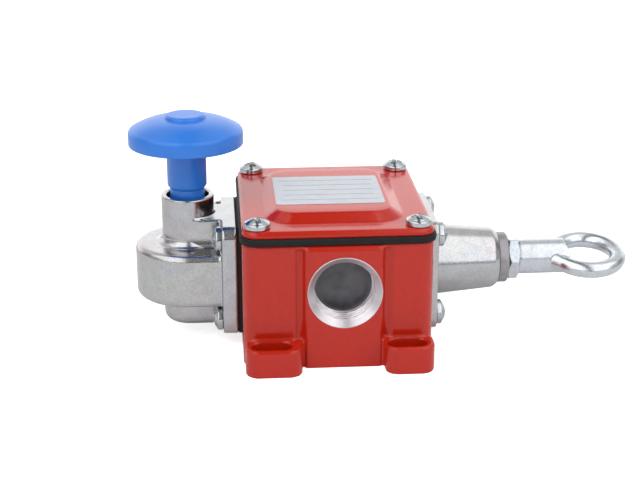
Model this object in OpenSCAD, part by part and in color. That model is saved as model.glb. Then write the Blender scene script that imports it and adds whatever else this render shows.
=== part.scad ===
// Rope pull emergency switch with a reset knob.
// A die-cast housing with a screwed cover holds two contact blocks and a cam on a pull rod. A conical
// spring housing guides the rod to the eye bolt for the rope. A second casting on the other end holds
// the latch and the knob that resets it.
// The origin lies on the mounting face under the middle of the housing, +X runs along the rope to
// the eye, +Z from the mounting face to the cover.

/* [Housing] */
// Length of the housing along the rope
housing_l = 57.2; // [57:0.1:66]
// Width of the housing across the rope
housing_w = 66.6; // [66:0.1:76]
// Height of the housing up to the cover seal
housing_h = 39; // [38.5:0.1:48]
// Radius of the housing's vertical corners
corner_r = 4.6; // [4:0.1:6]
// Thickness of the two walls that carry the pull rod
end_wall = 5.5; // [5:0.1:6]
// Thickness of the front and rear wall
side_wall = 3; // [2.5:0.1:3.6]
// Thickness of the floor
floor_t = 3; // [2.5:0.1:3.5]
// Radius of the corner columns round the cover screws
pillar_r = 5.5; // [4.5:0.1:5.6]

/* [Feet] */
// Distance that the feet stand out from the front and rear wall
foot_out = 7.6; // [6.5:0.1:12]
// Height of the feet
foot_h = 8.7; // [6:0.1:11]
// Radius of the feet's outer corners
foot_r = 4; // [2:0.1:5]
// Width of the feet on the reset side
foot_reset_w = 17; // [16:0.1:18]
// Width of the feet on the rope side
foot_rope_w = 14.9; // [14.5:0.1:17]
// Distance of the mounting slots' centres from the housing's ends
slot_in = 8.25; // [8:0.05:8.6]
// Distance of the mounting slots' centres from the front and rear wall
slot_out = 3.2; // [3.1:0.1:4]
// Length of a mounting slot, end to end
slot_l = 12.2; // [9:0.1:13]
// Width of a mounting slot
slot_w = 5.5; // [4.3:0.1:5.8]

/* [Cable entry] */
// Position of the entry along the rope
entry_x = 1.7; // [0:0.1:3]
// Height of the entry's axis
entry_z = 24.1; // [21:0.1:25]
// Radius of the entry's tapped bore
entry_r = 9.19; // [8:0.01:9.5]
// Outer radius of the machined ring round the entry
entry_ring_r = 11.5; // [11:0.1:12]
// Depth of the machined chamfer
entry_ring_d = 1.8; // [1:0.1:2.2]
// Depth of the dust plug below the outer face
plug_depth = 8.3; // [7:0.1:9]
// Thickness of the dust plug
plug_t = 1.2; // [0.8:0.1:1.5]
// Distance that the entry's flat stands proud of the front wall
boss_proud = 1.2; // [0.8:0.1:1.6]
// Width of the entry's flat
boss_w = 24; // [23.6:0.1:25]

/* [Cover] */
// Thickness of the cover seal
seal_t = 2.1; // [1.5:0.1:3]
// Distance that the seal stands out all round
seal_proud = 0.7; // [0.3:0.1:1]
// Thickness of the cover's rim
cover_t = 2.1; // [2:0.1:3]
// Height of the raised field above the rim
field_h = 2.4; // [1.5:0.1:3.5]
// Length of the raised field at its foot
field_l = 42.9; // [38:0.1:43.5]
// Width of the raised field at its foot
field_w = 53.2; // [46:0.1:54]
// Width of the slope round the raised field
field_slope = 4.7; // [3:0.1:5]
// Distance of the cover screws from the housing's ends
screw_in_x = 4.6; // [4.3:0.1:5]
// Distance of the cover screws from the front and rear wall
screw_in_y = 4.8; // [4.3:0.1:5.2]
// Length of the cover screws' thread in the housing
cover_bite = 10; // [6:0.5:14]
// Radius of the cover screw heads
cover_head_r = 3.9; // [3.4:0.1:4]
// Height of the cover screw heads
cover_head_h = 3.1; // [2:0.1:3.5]

/* [Pull rod] */
// Radius of the pull rod
rod_r = 5; // [4.6:0.1:5.2]
// Travel of the pull rod
travel = 8; // [5:0.1:8]
// Length of the rod beyond the reset knob's axis
rod_tail = 12.6; // [12.6:0.1:13]
// Half thickness of the rod's flat tail
tail_h = 2.6; // [2:0.1:3]
// Radial clearance of the running fits
running_gap = 0.06; // [0.03:0.01:0.1]
// Clearance between moving pieces that don't guide each other
free_gap = 0.3; // [0.25:0.01:0.4]

/* [Spring housing] */
// Width of the flanges across the rope
flange_w = 36; // [34:0.1:38]
// Height of the flanges' lower edge above the mounting face; the rod runs through their middle
flange_z = 4; // [3:0.1:4.4]
// Radius of the flanges' corners
flange_r = 3.7; // [2:0.1:4.5]
// Distance of the flange screws from the rod's axis, sideways
flange_screw = 13; // [12.7:0.1:13.3]
// Distance of the flange screws from the flanges' upper and lower edge
flange_screw_in = 4.5; // [4.2:0.1:4.8]
// Thickness of the spring housing's flange
spring_flange_t = 3.6; // [3:0.1:5]
// Length of the cone
cone_l = 19.6; // [18:0.1:26]
// Radius of the cone at the flange
cone_r = 11.45; // [11:0.1:12]
// Radius of the cone at its small end
cone_end_r = 9.65; // [9:0.05:10]
// Length of the rounded nose
nose_l = 1.8; // [1:0.1:3]
// Radius of the nose at its face
nose_r = 8.35; // [8:0.05:8.6]
// Radius of the spring chamber
chamber_r = 7.7; // [7.6:0.1:8]
// Radius of the spigot that centres the spring housing
spigot_r = 10; // [9.5:0.1:10.3]

/* [Guide bushes] */
// Radius of the guide bush's body
bush_r = 6.8; // [6.4:0.1:7]
// Length of the guide bush's body
bush_l = 5.2; // [4:0.1:7]
// Radius of the guide bush's collar
bush_ring_r = 8.1; // [7.4:0.1:8.3]
// Thickness of the guide bush's collar
bush_ring_t = 3.1; // [2.8:0.1:4]
// Radius of the rear guide bush
rear_bush_r = 7.45; // [7:0.05:7.8]
// Thickness of the rear guide bush's collar
rear_bush_t = 1.2; // [1:0.1:1.6]

/* [Rope eye] */
// Radius of the eye bolt's thread
thread_r = 4; // [3:0.1:4]
// Width of the lock nut across its flats
nut_af = 12.7; // [12:0.1:13]
// Thickness of the lock nut
nut_t = 3.5; // [3:0.1:6.5]
// Radius of the eye bolt's shank
shank_r = 5.6; // [4.8:0.1:6]
// Length of the eye bolt's shank up to the eye's arms
shank_l = 9.6; // [9:0.1:10.5]
// Distance of the eye's centre from the lock nut
eye_offset = 22.8; // [21.5:0.05:28]
// Inner radius of the eye
eye_r = 7.46; // [7:0.01:8.5]
// Radius of the eye's round bar
bar_r = 2.62; // [2.2:0.01:3]
// Turn of the eye about the rope's axis
eye_turn = 9; // [0:1:20]

/* [Reset housing] */
// Distance of the knob's axis from the housing's end face
reset_offset = 16.1; // [16:0.1:18]
// Thickness of the gasket
gasket_t = 1.1; // [0.5:0.1:1.5]
// Thickness of the reset housing's flange
reset_flange_t = 4.75; // [4:0.05:5]
// Radius of the drum
drum_r = 16.7; // [16.5:0.1:17.2]
// Gap between the drum and the heads of the flange screws
drum_gap = 0.9; // [0.7:0.1:1.2]
// Thickness of the drum's walls
drum_wall = 2.6; // [2:0.1:2.8]
// Radius of the drum's edges
drum_edge_r = 2; // [1:0.1:2.4]
// Radius of the guide boss under the drum
guide_r = 8.3; // [6:0.1:8.8]
// Depth of the guide boss below the drum
guide_h = 9.2; // [7:0.1:11]
// Outer radius of the collar round the stem
collar_r = 8.2; // [8:0.1:8.8]
// Height of the collar above the drum
collar_h = 15.3; // [15:0.1:18]
// Radius of the collar's bore
collar_bore_r = 6.6; // [6.5:0.1:6.8]

/* [Reset knob] */
// Radius of the knob
knob_r = 17.6; // [15:0.1:20]
// Height of the knob's straight rim
knob_rim_h = 4.3; // [3:0.1:6]
// Height of the knob's dome above its rim
knob_dome_h = 3.9; // [3:0.1:6]
// Gap between the collar and the stem's shoulder
stem_gap = 2.8; // [1:0.1:4]
// Length of the stem below the knob
stem_l = 13.6; // [10:0.1:18]
// Radius of the stem
stem_r = 6.1; // [5.8:0.1:6.4]
// Radius of the neck inside the collar
neck_r = 5.35; // [5.2:0.05:5.5]
// Travel of the knob
knob_travel = 4; // [3:0.1:4.2]
// Radius of the latch spindle
spindle_r = 2.1; // [1.8:0.1:2.2]

/* [Contacts] */
// Gap between the two contact blocks
block_split = 1.6; // [1.2:0.1:2.4]
// Depth of a contact block across the rope
block_d = 18; // [17:0.1:18.2]
// Height of a contact block
block_h = 27; // [25:0.1:27.5]
// Radius of a plunger
plunger_r = 1.9; // [1.6:0.1:2]
// Rise of the cam for each millimetre of rod travel
cam_slope = 0.25; // [0.15:0.01:0.25]
// Largest distance of the cam's flank from the rod's axis
cam_y = 8.6; // [8.4:0.05:8.7]
// Half height of the cam
cam_h = 6; // [5.6:0.1:7]

/* [Hidden] */
$fn = 64;

eps = 0.01;
half_l = housing_l / 2;
half_w = housing_w / 2;
cavity_x = half_l - end_wall;
cavity_y = half_w - side_wall;
foot_reach = half_w + foot_out;
slot_dx = housing_l - 2 * slot_in;
slot_dy = housing_w + 2 * slot_out;
cover_z = housing_h + seal_t;
rim_z = cover_z + cover_t;
screw_dx = housing_l - 2 * screw_in_x;
screw_dy = housing_w - 2 * screw_in_y;
m4_r = 2;
thread_gap = 0.05;
head_gap = 0.2;
flange_head_r = 3.6;
flange_head_h = 2.8;
flange_h = housing_h - flange_z;
axis_z = flange_z + flange_h / 2;
screw_bite = 4.6;
hole_spare = 2;

entry_y = -half_w - boss_proud;
plug_y = entry_y + plug_depth;
entry_wall_y = plug_y + plug_t + 2.2;
entry_boss_r = entry_ring_r + 1;
groove_d = 0.8;

cone_x = half_l + spring_flange_t;
nose_x = cone_x + cone_l;
bush_x = nose_x + nose_l;
nut_x = bush_x + bush_ring_t + 0.1;
shank_x = nut_x + nut_t;
eye_x = shank_x + eye_offset;
eye_mean_r = eye_r + bar_r;
seat_x = bush_x - bush_l;
plate_x = cavity_x + 0.4;
plate_t = 2;
clip_t = 0.8;
rope_wire_r = 0.85;
spigot_x = cavity_x - 0.5;

reset_x = -half_l - reset_offset;
reset_face_x = -half_l - gasket_t;
reset_flange_x = reset_face_x - reset_flange_t;
drum_h = flange_h - 2 * (flange_screw_in + flange_head_r + drum_gap);
drum_z = axis_z - drum_h / 2;
drum_top = axis_z + drum_h / 2;
chamber_z = drum_z + drum_wall;
chamber_top = drum_top - drum_wall;
guide_z = drum_z - guide_h;
collar_top = drum_top + collar_h;
spring_bore_r = collar_bore_r - 1;
bearing_z = collar_top - 9.3;
bearing_t = 2.5;
bush_flange_t = 1;
shoulder_z = collar_top + stem_gap;
neck_z = bearing_z + bearing_t + bush_flange_t + free_gap;
knob_z = shoulder_z + stem_l;
knob_rim_z = knob_z + knob_rim_h;
stem_oring_r = 0.85;
stem_oring_z = neck_z + 3.1;
clip_z = axis_z + tail_h + free_gap;
latch_z = clip_z + 0.7;
latch_t = 1.4;
latch_r = spring_bore_r - 0.4;
reset_wire_r = 0.5;
tail_x = reset_x + 8.7;

earth_x = -14;
earth_y = -18;
earth_boss_r = 4.2;
earth_boss_h = 4;
earth_thread_r = 1.75;
earth_head_r = 3;
earth_head_h = 2.2;
earth_clamp_w = 7.2;
earth_clamp_t = 1;

bracket_t = 2;
bracket_h = 5;
bracket_lip = 8;
bracket_screw_x = 12;
bracket_thread_r = 1.25;
bracket_bite = 2;
bracket_head_r = 2.4;
bracket_head_h = 1.8;

block_z = floor_t + bracket_h;
block_thread_r = 1.4;
block_head_r = 2.1;
block_head_h = 1.6;
ledge_h = 2;
rib_w = 4.4;
block_w = screw_dx / 2 - pillar_r - free_gap - block_split / 2;
plunger_x = (block_split + block_w) / 2;
block_y = cavity_y - 0.8 - block_d;
block_mid_y = block_y + block_d / 2;
tip_lift = plunger_r * sqrt(1 + cam_slope * cam_slope) + 0.1;
flank_x = plunger_x - 0.5;
cam_end_x = travel + 1.5;
low_tip_y = cam_y - cam_slope * (travel + 0.5) + tip_lift;
stroke = cam_slope * travel;
plunger_end = block_y + 3.7;
terminal_dy = 5.4;
terminal_bite = 4.6;
terminal_thread_r = 1.5;
terminal_head_h = 1.7;
terminal_clamp_w = block_w / 2 - rib_w / 2 - 0.9;
terminal_head_r = terminal_clamp_w / 2 - 0.4;
terminal_dx = rib_w / 2 + 0.2 + terminal_clamp_w / 2;
terminal_clamp_t = 0.9;

// Rectangle with round corners, centred.
module round_rect(l, w, r) {
    square([l, w - 2 * r], center = true);
    square([l - 2 * r, w], center = true);
    for (x = [-1, 1], y = [-1, 1])
        translate([x * (l / 2 - r), y * (w / 2 - r)])
            circle(r);
}

// Half of a section with rounded edges, for turning about its left side.
module half_section(r, h, f) {
    square([r - f, h]);
    translate([0, f])
        square([r, h - 2 * f]);
    for (z = [f, h - f])
        translate([r - f, z])
            circle(f);
}

// Copies at the four corners of a rectangle.
module at_corners(dx, dy)
    for (x = [-1, 1], y = [-1, 1])
        translate([x * dx / 2, y * dy / 2, 0])
            children();

// Lays a drawing upright at x, with its first axis along Y and its height along Z.
module upright(x)
    translate([x, 0, axis_z])
        rotate([90, 0, 90])
            children();

// Round bar on the rod's axis.
module bar_x(x0, x1, r)
    upright(x0)
        cylinder(h = x1 - x0, r = r);

// Ring of round section on the rod's axis.
module ring_x(x, mean_r, r)
    upright(x)
        rotate_extrude()
            translate([mean_r, 0])
                circle(r, $fn = 32);

// Bar from the cable entry's side, on the entry's axis.
module bar_y(y0, y1, r0, r1)
    translate([entry_x, y0, entry_z])
        rotate([-90, 0, 0])
            cylinder(h = y1 - y0, r1 = r0, r2 = r1);

// Screw along +Z: a domed pan head on z = 0 and a shank below it.
module pan_screw(head_r, head_h, r, l) {
    dome_drop = 0.42 * head_h;
    dome_r = (head_r * head_r + dome_drop * dome_drop) / (2 * dome_drop);
    intersection() {
        cylinder(h = head_h, r = head_r);
        translate([0, 0, head_h - dome_r])
            sphere(dome_r, $fn = 96);
    }
    translate([0, 0, -l])
        cylinder(h = l + eps, r = r);
}

// Plate of the flanges' outline, from x to x + t. Its upper edge lies under the cover seal.
module flange_plate(x, t)
    upright(x)
        linear_extrude(t)
            round_rect(flange_w, flange_h, flange_r);

// Children at the four flange screws, standing on the plane at x.
module at_flange_screws(x)
    upright(x)
        at_corners(2 * flange_screw, flange_h - 2 * flange_screw_in)
            children();

// Coil spring along Z from 0 to l, swept as one closed skin.
module coil(mean_r, wire_r, l, turns, sides = 6, steps = 16) {
    rings = round(turns * steps);
    rise = l - 2 * wire_r;
    points = [for (i = [0 : rings], j = [0 : sides - 1])
        let (a = 360 * i / steps, b = 360 * j / sides, d = mean_r + wire_r * cos(b))
        [d * cos(a), d * sin(a), wire_r + rise * i / rings + wire_r * sin(b)]];
    skin = [for (i = [0 : rings - 1], j = [0 : sides - 1])
        let (k = (j + 1) % sides, a = i * sides, b = a + sides)
        [a + j, b + j, b + k, a + k]];
    start = [for (j = [0 : sides - 1]) j];
    end = [for (j = [sides - 1 : -1 : 0]) rings * sides + j];
    polyhedron(points, concat([start], skin, [end]), convexity = 8);
}

// Housing wall, floor and corner columns, open at the top.
module housing_shell() {
    difference() {
        linear_extrude(housing_h)
            round_rect(housing_l, housing_w, corner_r);
        translate([0, 0, floor_t])
            linear_extrude(housing_h)
                round_rect(2 * cavity_x, 2 * cavity_y, 2);
        for (side = [-1, 1])
            entry_groove(side);
    }
    intersection() {
        linear_extrude(housing_h)
            round_rect(housing_l - 2 * eps, housing_w - 2 * eps, corner_r);
        at_corners(screw_dx, screw_dy)
            cylinder(h = housing_h, r = pillar_r);
    }
}

// Shallow upright groove in the front wall beside the entry's flat.
module entry_groove(side)
    translate([entry_x - 0.3, 0, foot_h])
        linear_extrude(housing_h - foot_h - boss_proud)
            polygon([
                [side * boss_w / 2 - side, -half_w - 1],
                [side * boss_w / 2 - side, -half_w + groove_d],
                [side * boss_w / 2 + 1.6 * side, -half_w + groove_d],
                [side * boss_w / 2 + 3 * side, -half_w - 0.1],
                [side * boss_w / 2 + 3 * side, -half_w - 1]]);

// Raised flat round the cable entry, with bevelled sides and top.
module entry_flat()
    intersection() {
        translate([entry_x - 0.3, 0, 0])
            linear_extrude(housing_h)
                polygon([
                    [-boss_w / 2, -half_w + groove_d],
                    [-boss_w / 2, -half_w],
                    [-boss_w / 2 + 0.7, entry_y],
                    [boss_w / 2 - 0.7, entry_y],
                    [boss_w / 2, -half_w],
                    [boss_w / 2, -half_w + groove_d]]);
        rotate([90, 0, 90])
            translate([0, 0, -half_l])
                linear_extrude(housing_l)
                    polygon([
                        [-half_w + groove_d, 0],
                        [entry_y, 0],
                        [entry_y, housing_h - boss_proud - 0.1],
                        [-half_w, housing_h - 0.1],
                        [-half_w + groove_d, housing_h - 0.1]]);
    }

// Foot in front of the housing between x0 and x0 + w, with a rounded upper edge.
module foot(x0, w)
    intersection() {
        translate([x0 + w / 2, -half_w + foot_r - (foot_reach - half_w) / 2, 0])
            linear_extrude(foot_h)
                round_rect(w, foot_reach - half_w + 2 * foot_r, foot_r);
        translate([x0, 0, 0])
            rotate([90, 0, 90])
                linear_extrude(w) {
                    translate([-foot_reach, 0])
                        square([foot_reach - half_w + 1, foot_h - 1]);
                    translate([-foot_reach + 1, 0])
                        square([foot_reach - half_w, foot_h]);
                    translate([-foot_reach + 1, foot_h - 1])
                        circle(1);
                }
    }

// Slot through a foot, centred on the origin.
module slot_hole()
    translate([0, 0, -1])
        linear_extrude(foot_h + 2)
            for (x = [-1, 1])
                translate([x * (slot_l - slot_w) / 2, 0])
                    circle(slot_w / 2);

// Straight part of a slot.
module slot_flank()
    translate([-(slot_l - slot_w) / 2, -slot_w / 2, -1])
        cube([slot_l - slot_w, slot_w, foot_h + 2]);

module housing()
    color([0.72, 0.17, 0.14])
        difference() {
            union() {
                housing_shell();
                entry_flat();
                bar_y(-cavity_y - 1, entry_wall_y, entry_boss_r, entry_boss_r);
                for (side = [0, 1])
                    mirror([0, side, 0]) {
                        foot(-half_l + 0.4, foot_reset_w);
                        foot(half_l - 0.1 - foot_rope_w, foot_rope_w);
                    }
                translate([earth_x, earth_y, floor_t - 1])
                    cylinder(h = earth_boss_h + 1, r = earth_boss_r);
            }
            at_corners(slot_dx, slot_dy) {
                slot_hole();
                slot_flank();
            }
            translate([0, 0, housing_h - cover_bite - hole_spare])
                at_corners(screw_dx, screw_dy)
                    cylinder(h = cover_bite + 2 * hole_spare, r = m4_r + thread_gap);
            bar_y(entry_y - eps, entry_y + entry_ring_d, entry_ring_r + eps, entry_r);
            bar_y(entry_y, plug_y + eps, entry_r, entry_r);
            bar_y(plug_y, plug_y + plug_t, entry_r + 0.4, entry_r + 0.4);
            bar_y(plug_y, entry_wall_y + 1, entry_r - 0.8, entry_r - 0.8);
            bar_x(-half_l - 1, -cavity_x + 1, rear_bush_r + 0.02);
            bar_x(cavity_x - 1, half_l + 1, spigot_r + 0.05);
            at_flange_screws(half_l - screw_bite)
                cylinder(h = screw_bite + 1, r = m4_r + thread_gap);
            at_flange_screws(-half_l - 1)
                cylinder(h = screw_bite + 1, r = m4_r + thread_gap);
            translate([earth_x, earth_y, floor_t])
                cylinder(h = earth_boss_h + hole_spare, r = earth_thread_r + thread_gap);
            at_bracket_screws(floor_t - bracket_bite)
                cylinder(h = bracket_bite + 1, r = bracket_thread_r + thread_gap);
        }

// Rim of the cover with a rounded upper edge.
module cover_rim() {
    f = 0.48 * cover_t;
    linear_extrude(cover_t - f)
        round_rect(housing_l, housing_w, corner_r);
    linear_extrude(cover_t)
        round_rect(housing_l - 2 * f, housing_w - 2 * f, corner_r - f);
    for (x = [-1, 1])
        translate([x * (half_l - f), half_w - corner_r, cover_t - f])
            rotate([90, 0, 0])
                cylinder(h = housing_w - 2 * corner_r, r = f);
    for (y = [-1, 1])
        translate([corner_r - half_l, y * (half_w - f), cover_t - f])
            rotate([0, 90, 0])
                cylinder(h = housing_l - 2 * corner_r, r = f);
    translate([0, 0, cover_t - f])
        at_corners(housing_l - 2 * corner_r, housing_w - 2 * corner_r)
            rotate_extrude()
                translate([corner_r - f, 0])
                    circle(f, $fn = 32);
}

module cover()
    color([0.8, 0.28, 0.24])
        difference() {
            union() {
                translate([0, 0, cover_z])
                    cover_rim();
                translate([-0.4, 0, rim_z])
                    hull() {
                        translate([0, 0, -0.5])
                            linear_extrude(0.5)
                                round_rect(field_l, field_w, 9, $fn = 48);
                        translate([0, 0, field_h - 0.05])
                            linear_extrude(0.05)
                                round_rect(field_l - 2 * field_slope,
                                    field_w - 2 * field_slope, 5, $fn = 48);
                    }
            }
            translate([-0.4, 0, cover_z - eps])
                linear_extrude(cover_t - 0.2)
                    round_rect(field_l - 2 * field_slope, field_w - 2 * field_slope, 4);
            translate([0, 0, cover_z - 1])
                at_corners(screw_dx, screw_dy)
                    cylinder(h = cover_t + 2, r = m4_r + head_gap);
        }

module cover_seal()
    color([0.12, 0.12, 0.12])
        translate([0, 0, housing_h])
            linear_extrude(seal_t)
                difference() {
                    round_rect(housing_l + 2 * seal_proud, housing_w + 2 * seal_proud,
                        corner_r + seal_proud);
                    difference() {
                        round_rect(2 * cavity_x, 2 * cavity_y, 2);
                        for (x = [-1, 1], y = [-1, 1])
                            translate([x * screw_dx / 2, y * screw_dy / 2])
                                circle(pillar_r);
                    }
                    for (x = [-1, 1], y = [-1, 1])
                        translate([x * screw_dx / 2, y * screw_dy / 2])
                            circle(m4_r + head_gap);
                }

module cover_screws()
    color([0.82, 0.84, 0.86])
        translate([0, 0, rim_z])
            at_corners(screw_dx, screw_dy)
                pan_screw(cover_head_r, cover_head_h, m4_r, cover_t + seal_t + cover_bite);

module entry_dust_plug()
    color([0.27, 0.27, 0.29])
        bar_y(plug_y, plug_y + plug_t, entry_r + 0.35, entry_r + 0.35);

module spring_housing()
    color([0.8, 0.8, 0.8])
        difference() {
            union() {
                flange_plate(half_l, spring_flange_t);
                bar_x(spigot_x, half_l + 1, spigot_r);
                upright(cone_x - eps)
                    cylinder(h = cone_l + 2 * eps, r1 = cone_r, r2 = cone_end_r);
                upright(nose_x)
                    cylinder(h = nose_l, r1 = cone_end_r, r2 = nose_r);
            }
            bar_x(spigot_x - 1, seat_x, chamber_r);
            bar_x(seat_x - 1, bush_x + 1, bush_r + 0.02);
            upright(half_l - eps)
                difference() {
                    cylinder(h = 1.6, r = spigot_r + 3);
                    translate([0, 0, -1])
                        cylinder(h = 4, r = spigot_r + 1.4);
                }
            at_flange_screws(half_l - 1)
                cylinder(h = spring_flange_t + 2, r = m4_r + head_gap);
        }

module spring_housing_oring()
    color([0.1, 0.1, 0.1])
        ring_x(half_l + 0.8, spigot_r + 2.2, 0.78);

module spring_screws()
    color([0.85, 0.86, 0.88])
        at_flange_screws(cone_x)
            pan_screw(flange_head_r, flange_head_h, m4_r, spring_flange_t + screw_bite - 0.3);

module guide_bush()
    color([0.55, 0.52, 0.5])
        difference() {
            union() {
                bar_x(seat_x, bush_x + 1, bush_r);
                bar_x(bush_x, bush_x + bush_ring_t - 0.8, bush_ring_r);
                upright(bush_x + bush_ring_t - 0.8 - eps)
                    cylinder(h = 0.8 + eps, r1 = bush_ring_r, r2 = bush_ring_r - 0.8);
            }
            bar_x(seat_x - 1, bush_x + bush_ring_t + 1, rod_r + running_gap);
            bar_x(bush_x + 0.7, bush_x + 2.1, rod_r + 1.5);
        }

module rod_seal()
    color([0.1, 0.1, 0.1])
        ring_x(bush_x + 1.4, rod_r + 0.8, 0.68);

module rear_guide_bush()
    color([0.72, 0.58, 0.32])
        difference() {
            union() {
                bar_x(-half_l, -cavity_x + eps, rear_bush_r);
                bar_x(-cavity_x, -cavity_x + rear_bush_t, rear_bush_r + 2);
            }
            bar_x(-half_l - 1, -cavity_x + rear_bush_t + 1, rod_r + running_gap);
        }

// Body with rounded edges round the knob's axis, carried on straight to the flange.
module tangent_body(r, z, h, f)
    translate([reset_x, 0, z]) {
        rotate_extrude()
            half_section(r, h, f);
        rotate([90, 0, 90])
            linear_extrude(reset_flange_x - reset_x + 1) {
                half_section(r, h, f);
                mirror([1, 0])
                    half_section(r, h, f);
            }
    }

module reset_housing()
    color([0.7, 0.7, 0.7])
        difference() {
            union() {
                flange_plate(reset_flange_x, reset_flange_t);
                tangent_body(drum_r, drum_z, drum_h, drum_edge_r);
                tangent_body(guide_r, guide_z, guide_h + 6, 2.9);
                translate([reset_x, 0, drum_top - 2])
                    cylinder(h = collar_h + 2, r = collar_r);
                translate([reset_x, -collar_r, drum_top - 2])
                    cube([reset_flange_x - reset_x + 1, 2 * collar_r,
                        housing_h - drum_top + 2]);
            }
            translate([reset_face_x, -drum_r, drum_z - 1])
                cube([drum_r, 2 * drum_r, drum_h + 2]);
            translate([reset_x, 0, chamber_z])
                cylinder(h = chamber_top - chamber_z, r = drum_r - drum_wall);
            translate([reset_x, -9, chamber_z])
                cube([reset_offset, 18, chamber_top - chamber_z]);
            translate([reset_x, 0, guide_z + 1.5])
                cylinder(h = guide_h + drum_wall, r = spindle_r + running_gap);
            translate([reset_x, 0, chamber_top - 1])
                cylinder(h = bearing_z - chamber_top + 1, r = spring_bore_r);
            translate([reset_x, 0, bearing_z - 1])
                cylinder(h = bearing_t + 2, r = spindle_r + 1.5);
            translate([reset_x, 0, bearing_z + bearing_t])
                cylinder(h = collar_top, r = collar_bore_r);
            at_flange_screws(reset_flange_x - 1)
                cylinder(h = reset_flange_t + 2, r = m4_r + head_gap);
        }

module reset_gasket()
    color([0.1, 0.1, 0.1])
        difference() {
            flange_plate(reset_face_x, gasket_t);
            bar_x(reset_face_x - 1, -half_l + 1, rear_bush_r + 1);
            at_flange_screws(reset_face_x - 1)
                cylinder(h = gasket_t + 2, r = m4_r + head_gap);
        }

module reset_screws()
    color([0.85, 0.86, 0.88])
        at_flange_screws(reset_flange_x)
            mirror([0, 0, 1])
                pan_screw(flange_head_r, flange_head_h, m4_r,
                    reset_flange_t + gasket_t + screw_bite - 0.3);

module stem_guide_bush()
    color([0.72, 0.58, 0.32])
        translate([reset_x, 0, bearing_z])
            difference() {
                union() {
                    cylinder(h = bearing_t, r = spindle_r + 1.48);
                    translate([0, 0, bearing_t])
                        cylinder(h = bush_flange_t, r = collar_bore_r - 0.6);
                }
                translate([0, 0, -1])
                    cylinder(h = bearing_t + bush_flange_t + 2, r = spindle_r + running_gap);
            }

// Children at the two bracket screws, at height z.
module at_bracket_screws(z)
    for (side = [-1, 1])
        translate([side * bracket_screw_x, block_y - bracket_lip / 2, z])
            children();

module contact_bracket()
    color([0.75, 0.76, 0.78])
        difference() {
            union() {
                translate([-plunger_x - block_w / 2, block_y - bracket_lip, floor_t])
                    cube([2 * plunger_x + block_w, block_d + bracket_lip, bracket_t]);
                translate([-plunger_x - block_w / 2, block_y, floor_t])
                    cube([2 * plunger_x + block_w, block_d, bracket_h]);
            }
            at_bracket_screws(floor_t - 1)
                cylinder(h = bracket_t + 2, r = bracket_thread_r + head_gap);
            for (side = [-1, 1])
                translate([side * plunger_x, block_mid_y, floor_t - 1])
                    cylinder(h = bracket_h + 2, r = block_thread_r + thread_gap);
        }

module bracket_screws()
    color([0.82, 0.84, 0.86])
        at_bracket_screws(floor_t + bracket_t)
            pan_screw(bracket_head_r, bracket_head_h, bracket_thread_r,
                bracket_t + bracket_bite - 0.2);

// Contact block with a guide bore for its plunger, terminal ledges and a screw hole.
module contact_block(x)
    difference() {
        union() {
            translate([x - block_w / 2, block_y, block_z])
                cube([block_w, block_d, block_h - ledge_h]);
            translate([x - rib_w / 2, block_y, block_z])
                cube([rib_w, block_d, block_h]);
        }
        translate([x, block_y - 1, axis_z])
            rotate([-90, 0, 0])
                cylinder(h = plunger_end + stroke + free_gap - block_y + 1,
                    r = plunger_r + running_gap);
        translate([x, block_mid_y, block_z - 1])
            cylinder(h = block_h + 2, r = block_thread_r + 0.1);
        translate([x, block_mid_y, block_z + block_h - ledge_h - terminal_bite - 0.4])
            at_corners(2 * terminal_dx, 2 * terminal_dy)
                cylinder(h = terminal_bite + ledge_h + 1, r = terminal_thread_r + thread_gap);
    }

module contact_block_slack()
    color([0.2, 0.2, 0.22])
        contact_block(-plunger_x);

module contact_block_pull()
    color([0.2, 0.2, 0.22])
        contact_block(plunger_x);

module contact_block_screws()
    color([0.82, 0.84, 0.86])
        for (side = [-1, 1])
            translate([side * plunger_x, block_mid_y, block_z + block_h])
                pan_screw(block_head_r, block_head_h, block_thread_r, block_h + bracket_h - 1.5);

// Children at the eight terminals, on the blocks' ledges.
module at_terminals()
    for (side = [-1, 1])
        translate([side * plunger_x, block_mid_y, block_z + block_h - ledge_h])
            at_corners(2 * terminal_dx, 2 * terminal_dy)
                children();

// Square clamping washer on z = 0.
module clamp(w, t, bore_r)
    difference() {
        translate([-w / 2, -w / 2, 0])
            cube([w, w, t]);
        translate([0, 0, -1])
            cylinder(h = t + 2, r = bore_r);
    }

module terminal_clamps()
    color([0.78, 0.68, 0.4])
        at_terminals()
            clamp(terminal_clamp_w, terminal_clamp_t, terminal_thread_r + head_gap);

module terminal_screws()
    color([0.82, 0.84, 0.86])
        at_terminals()
            translate([0, 0, terminal_clamp_t])
                pan_screw(terminal_head_r, terminal_head_h, terminal_thread_r,
                    terminal_clamp_t + terminal_bite);

module earth_clamp()
    color([0.78, 0.68, 0.4])
        translate([earth_x, earth_y, floor_t + earth_boss_h])
            clamp(earth_clamp_w, earth_clamp_t, earth_thread_r + head_gap);

module earth_screw()
    color([0.82, 0.84, 0.86])
        translate([earth_x, earth_y, floor_t + earth_boss_h + earth_clamp_t])
            pan_screw(earth_head_r, earth_head_h, earth_thread_r, earth_clamp_t + earth_boss_h - 0.3);

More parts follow.
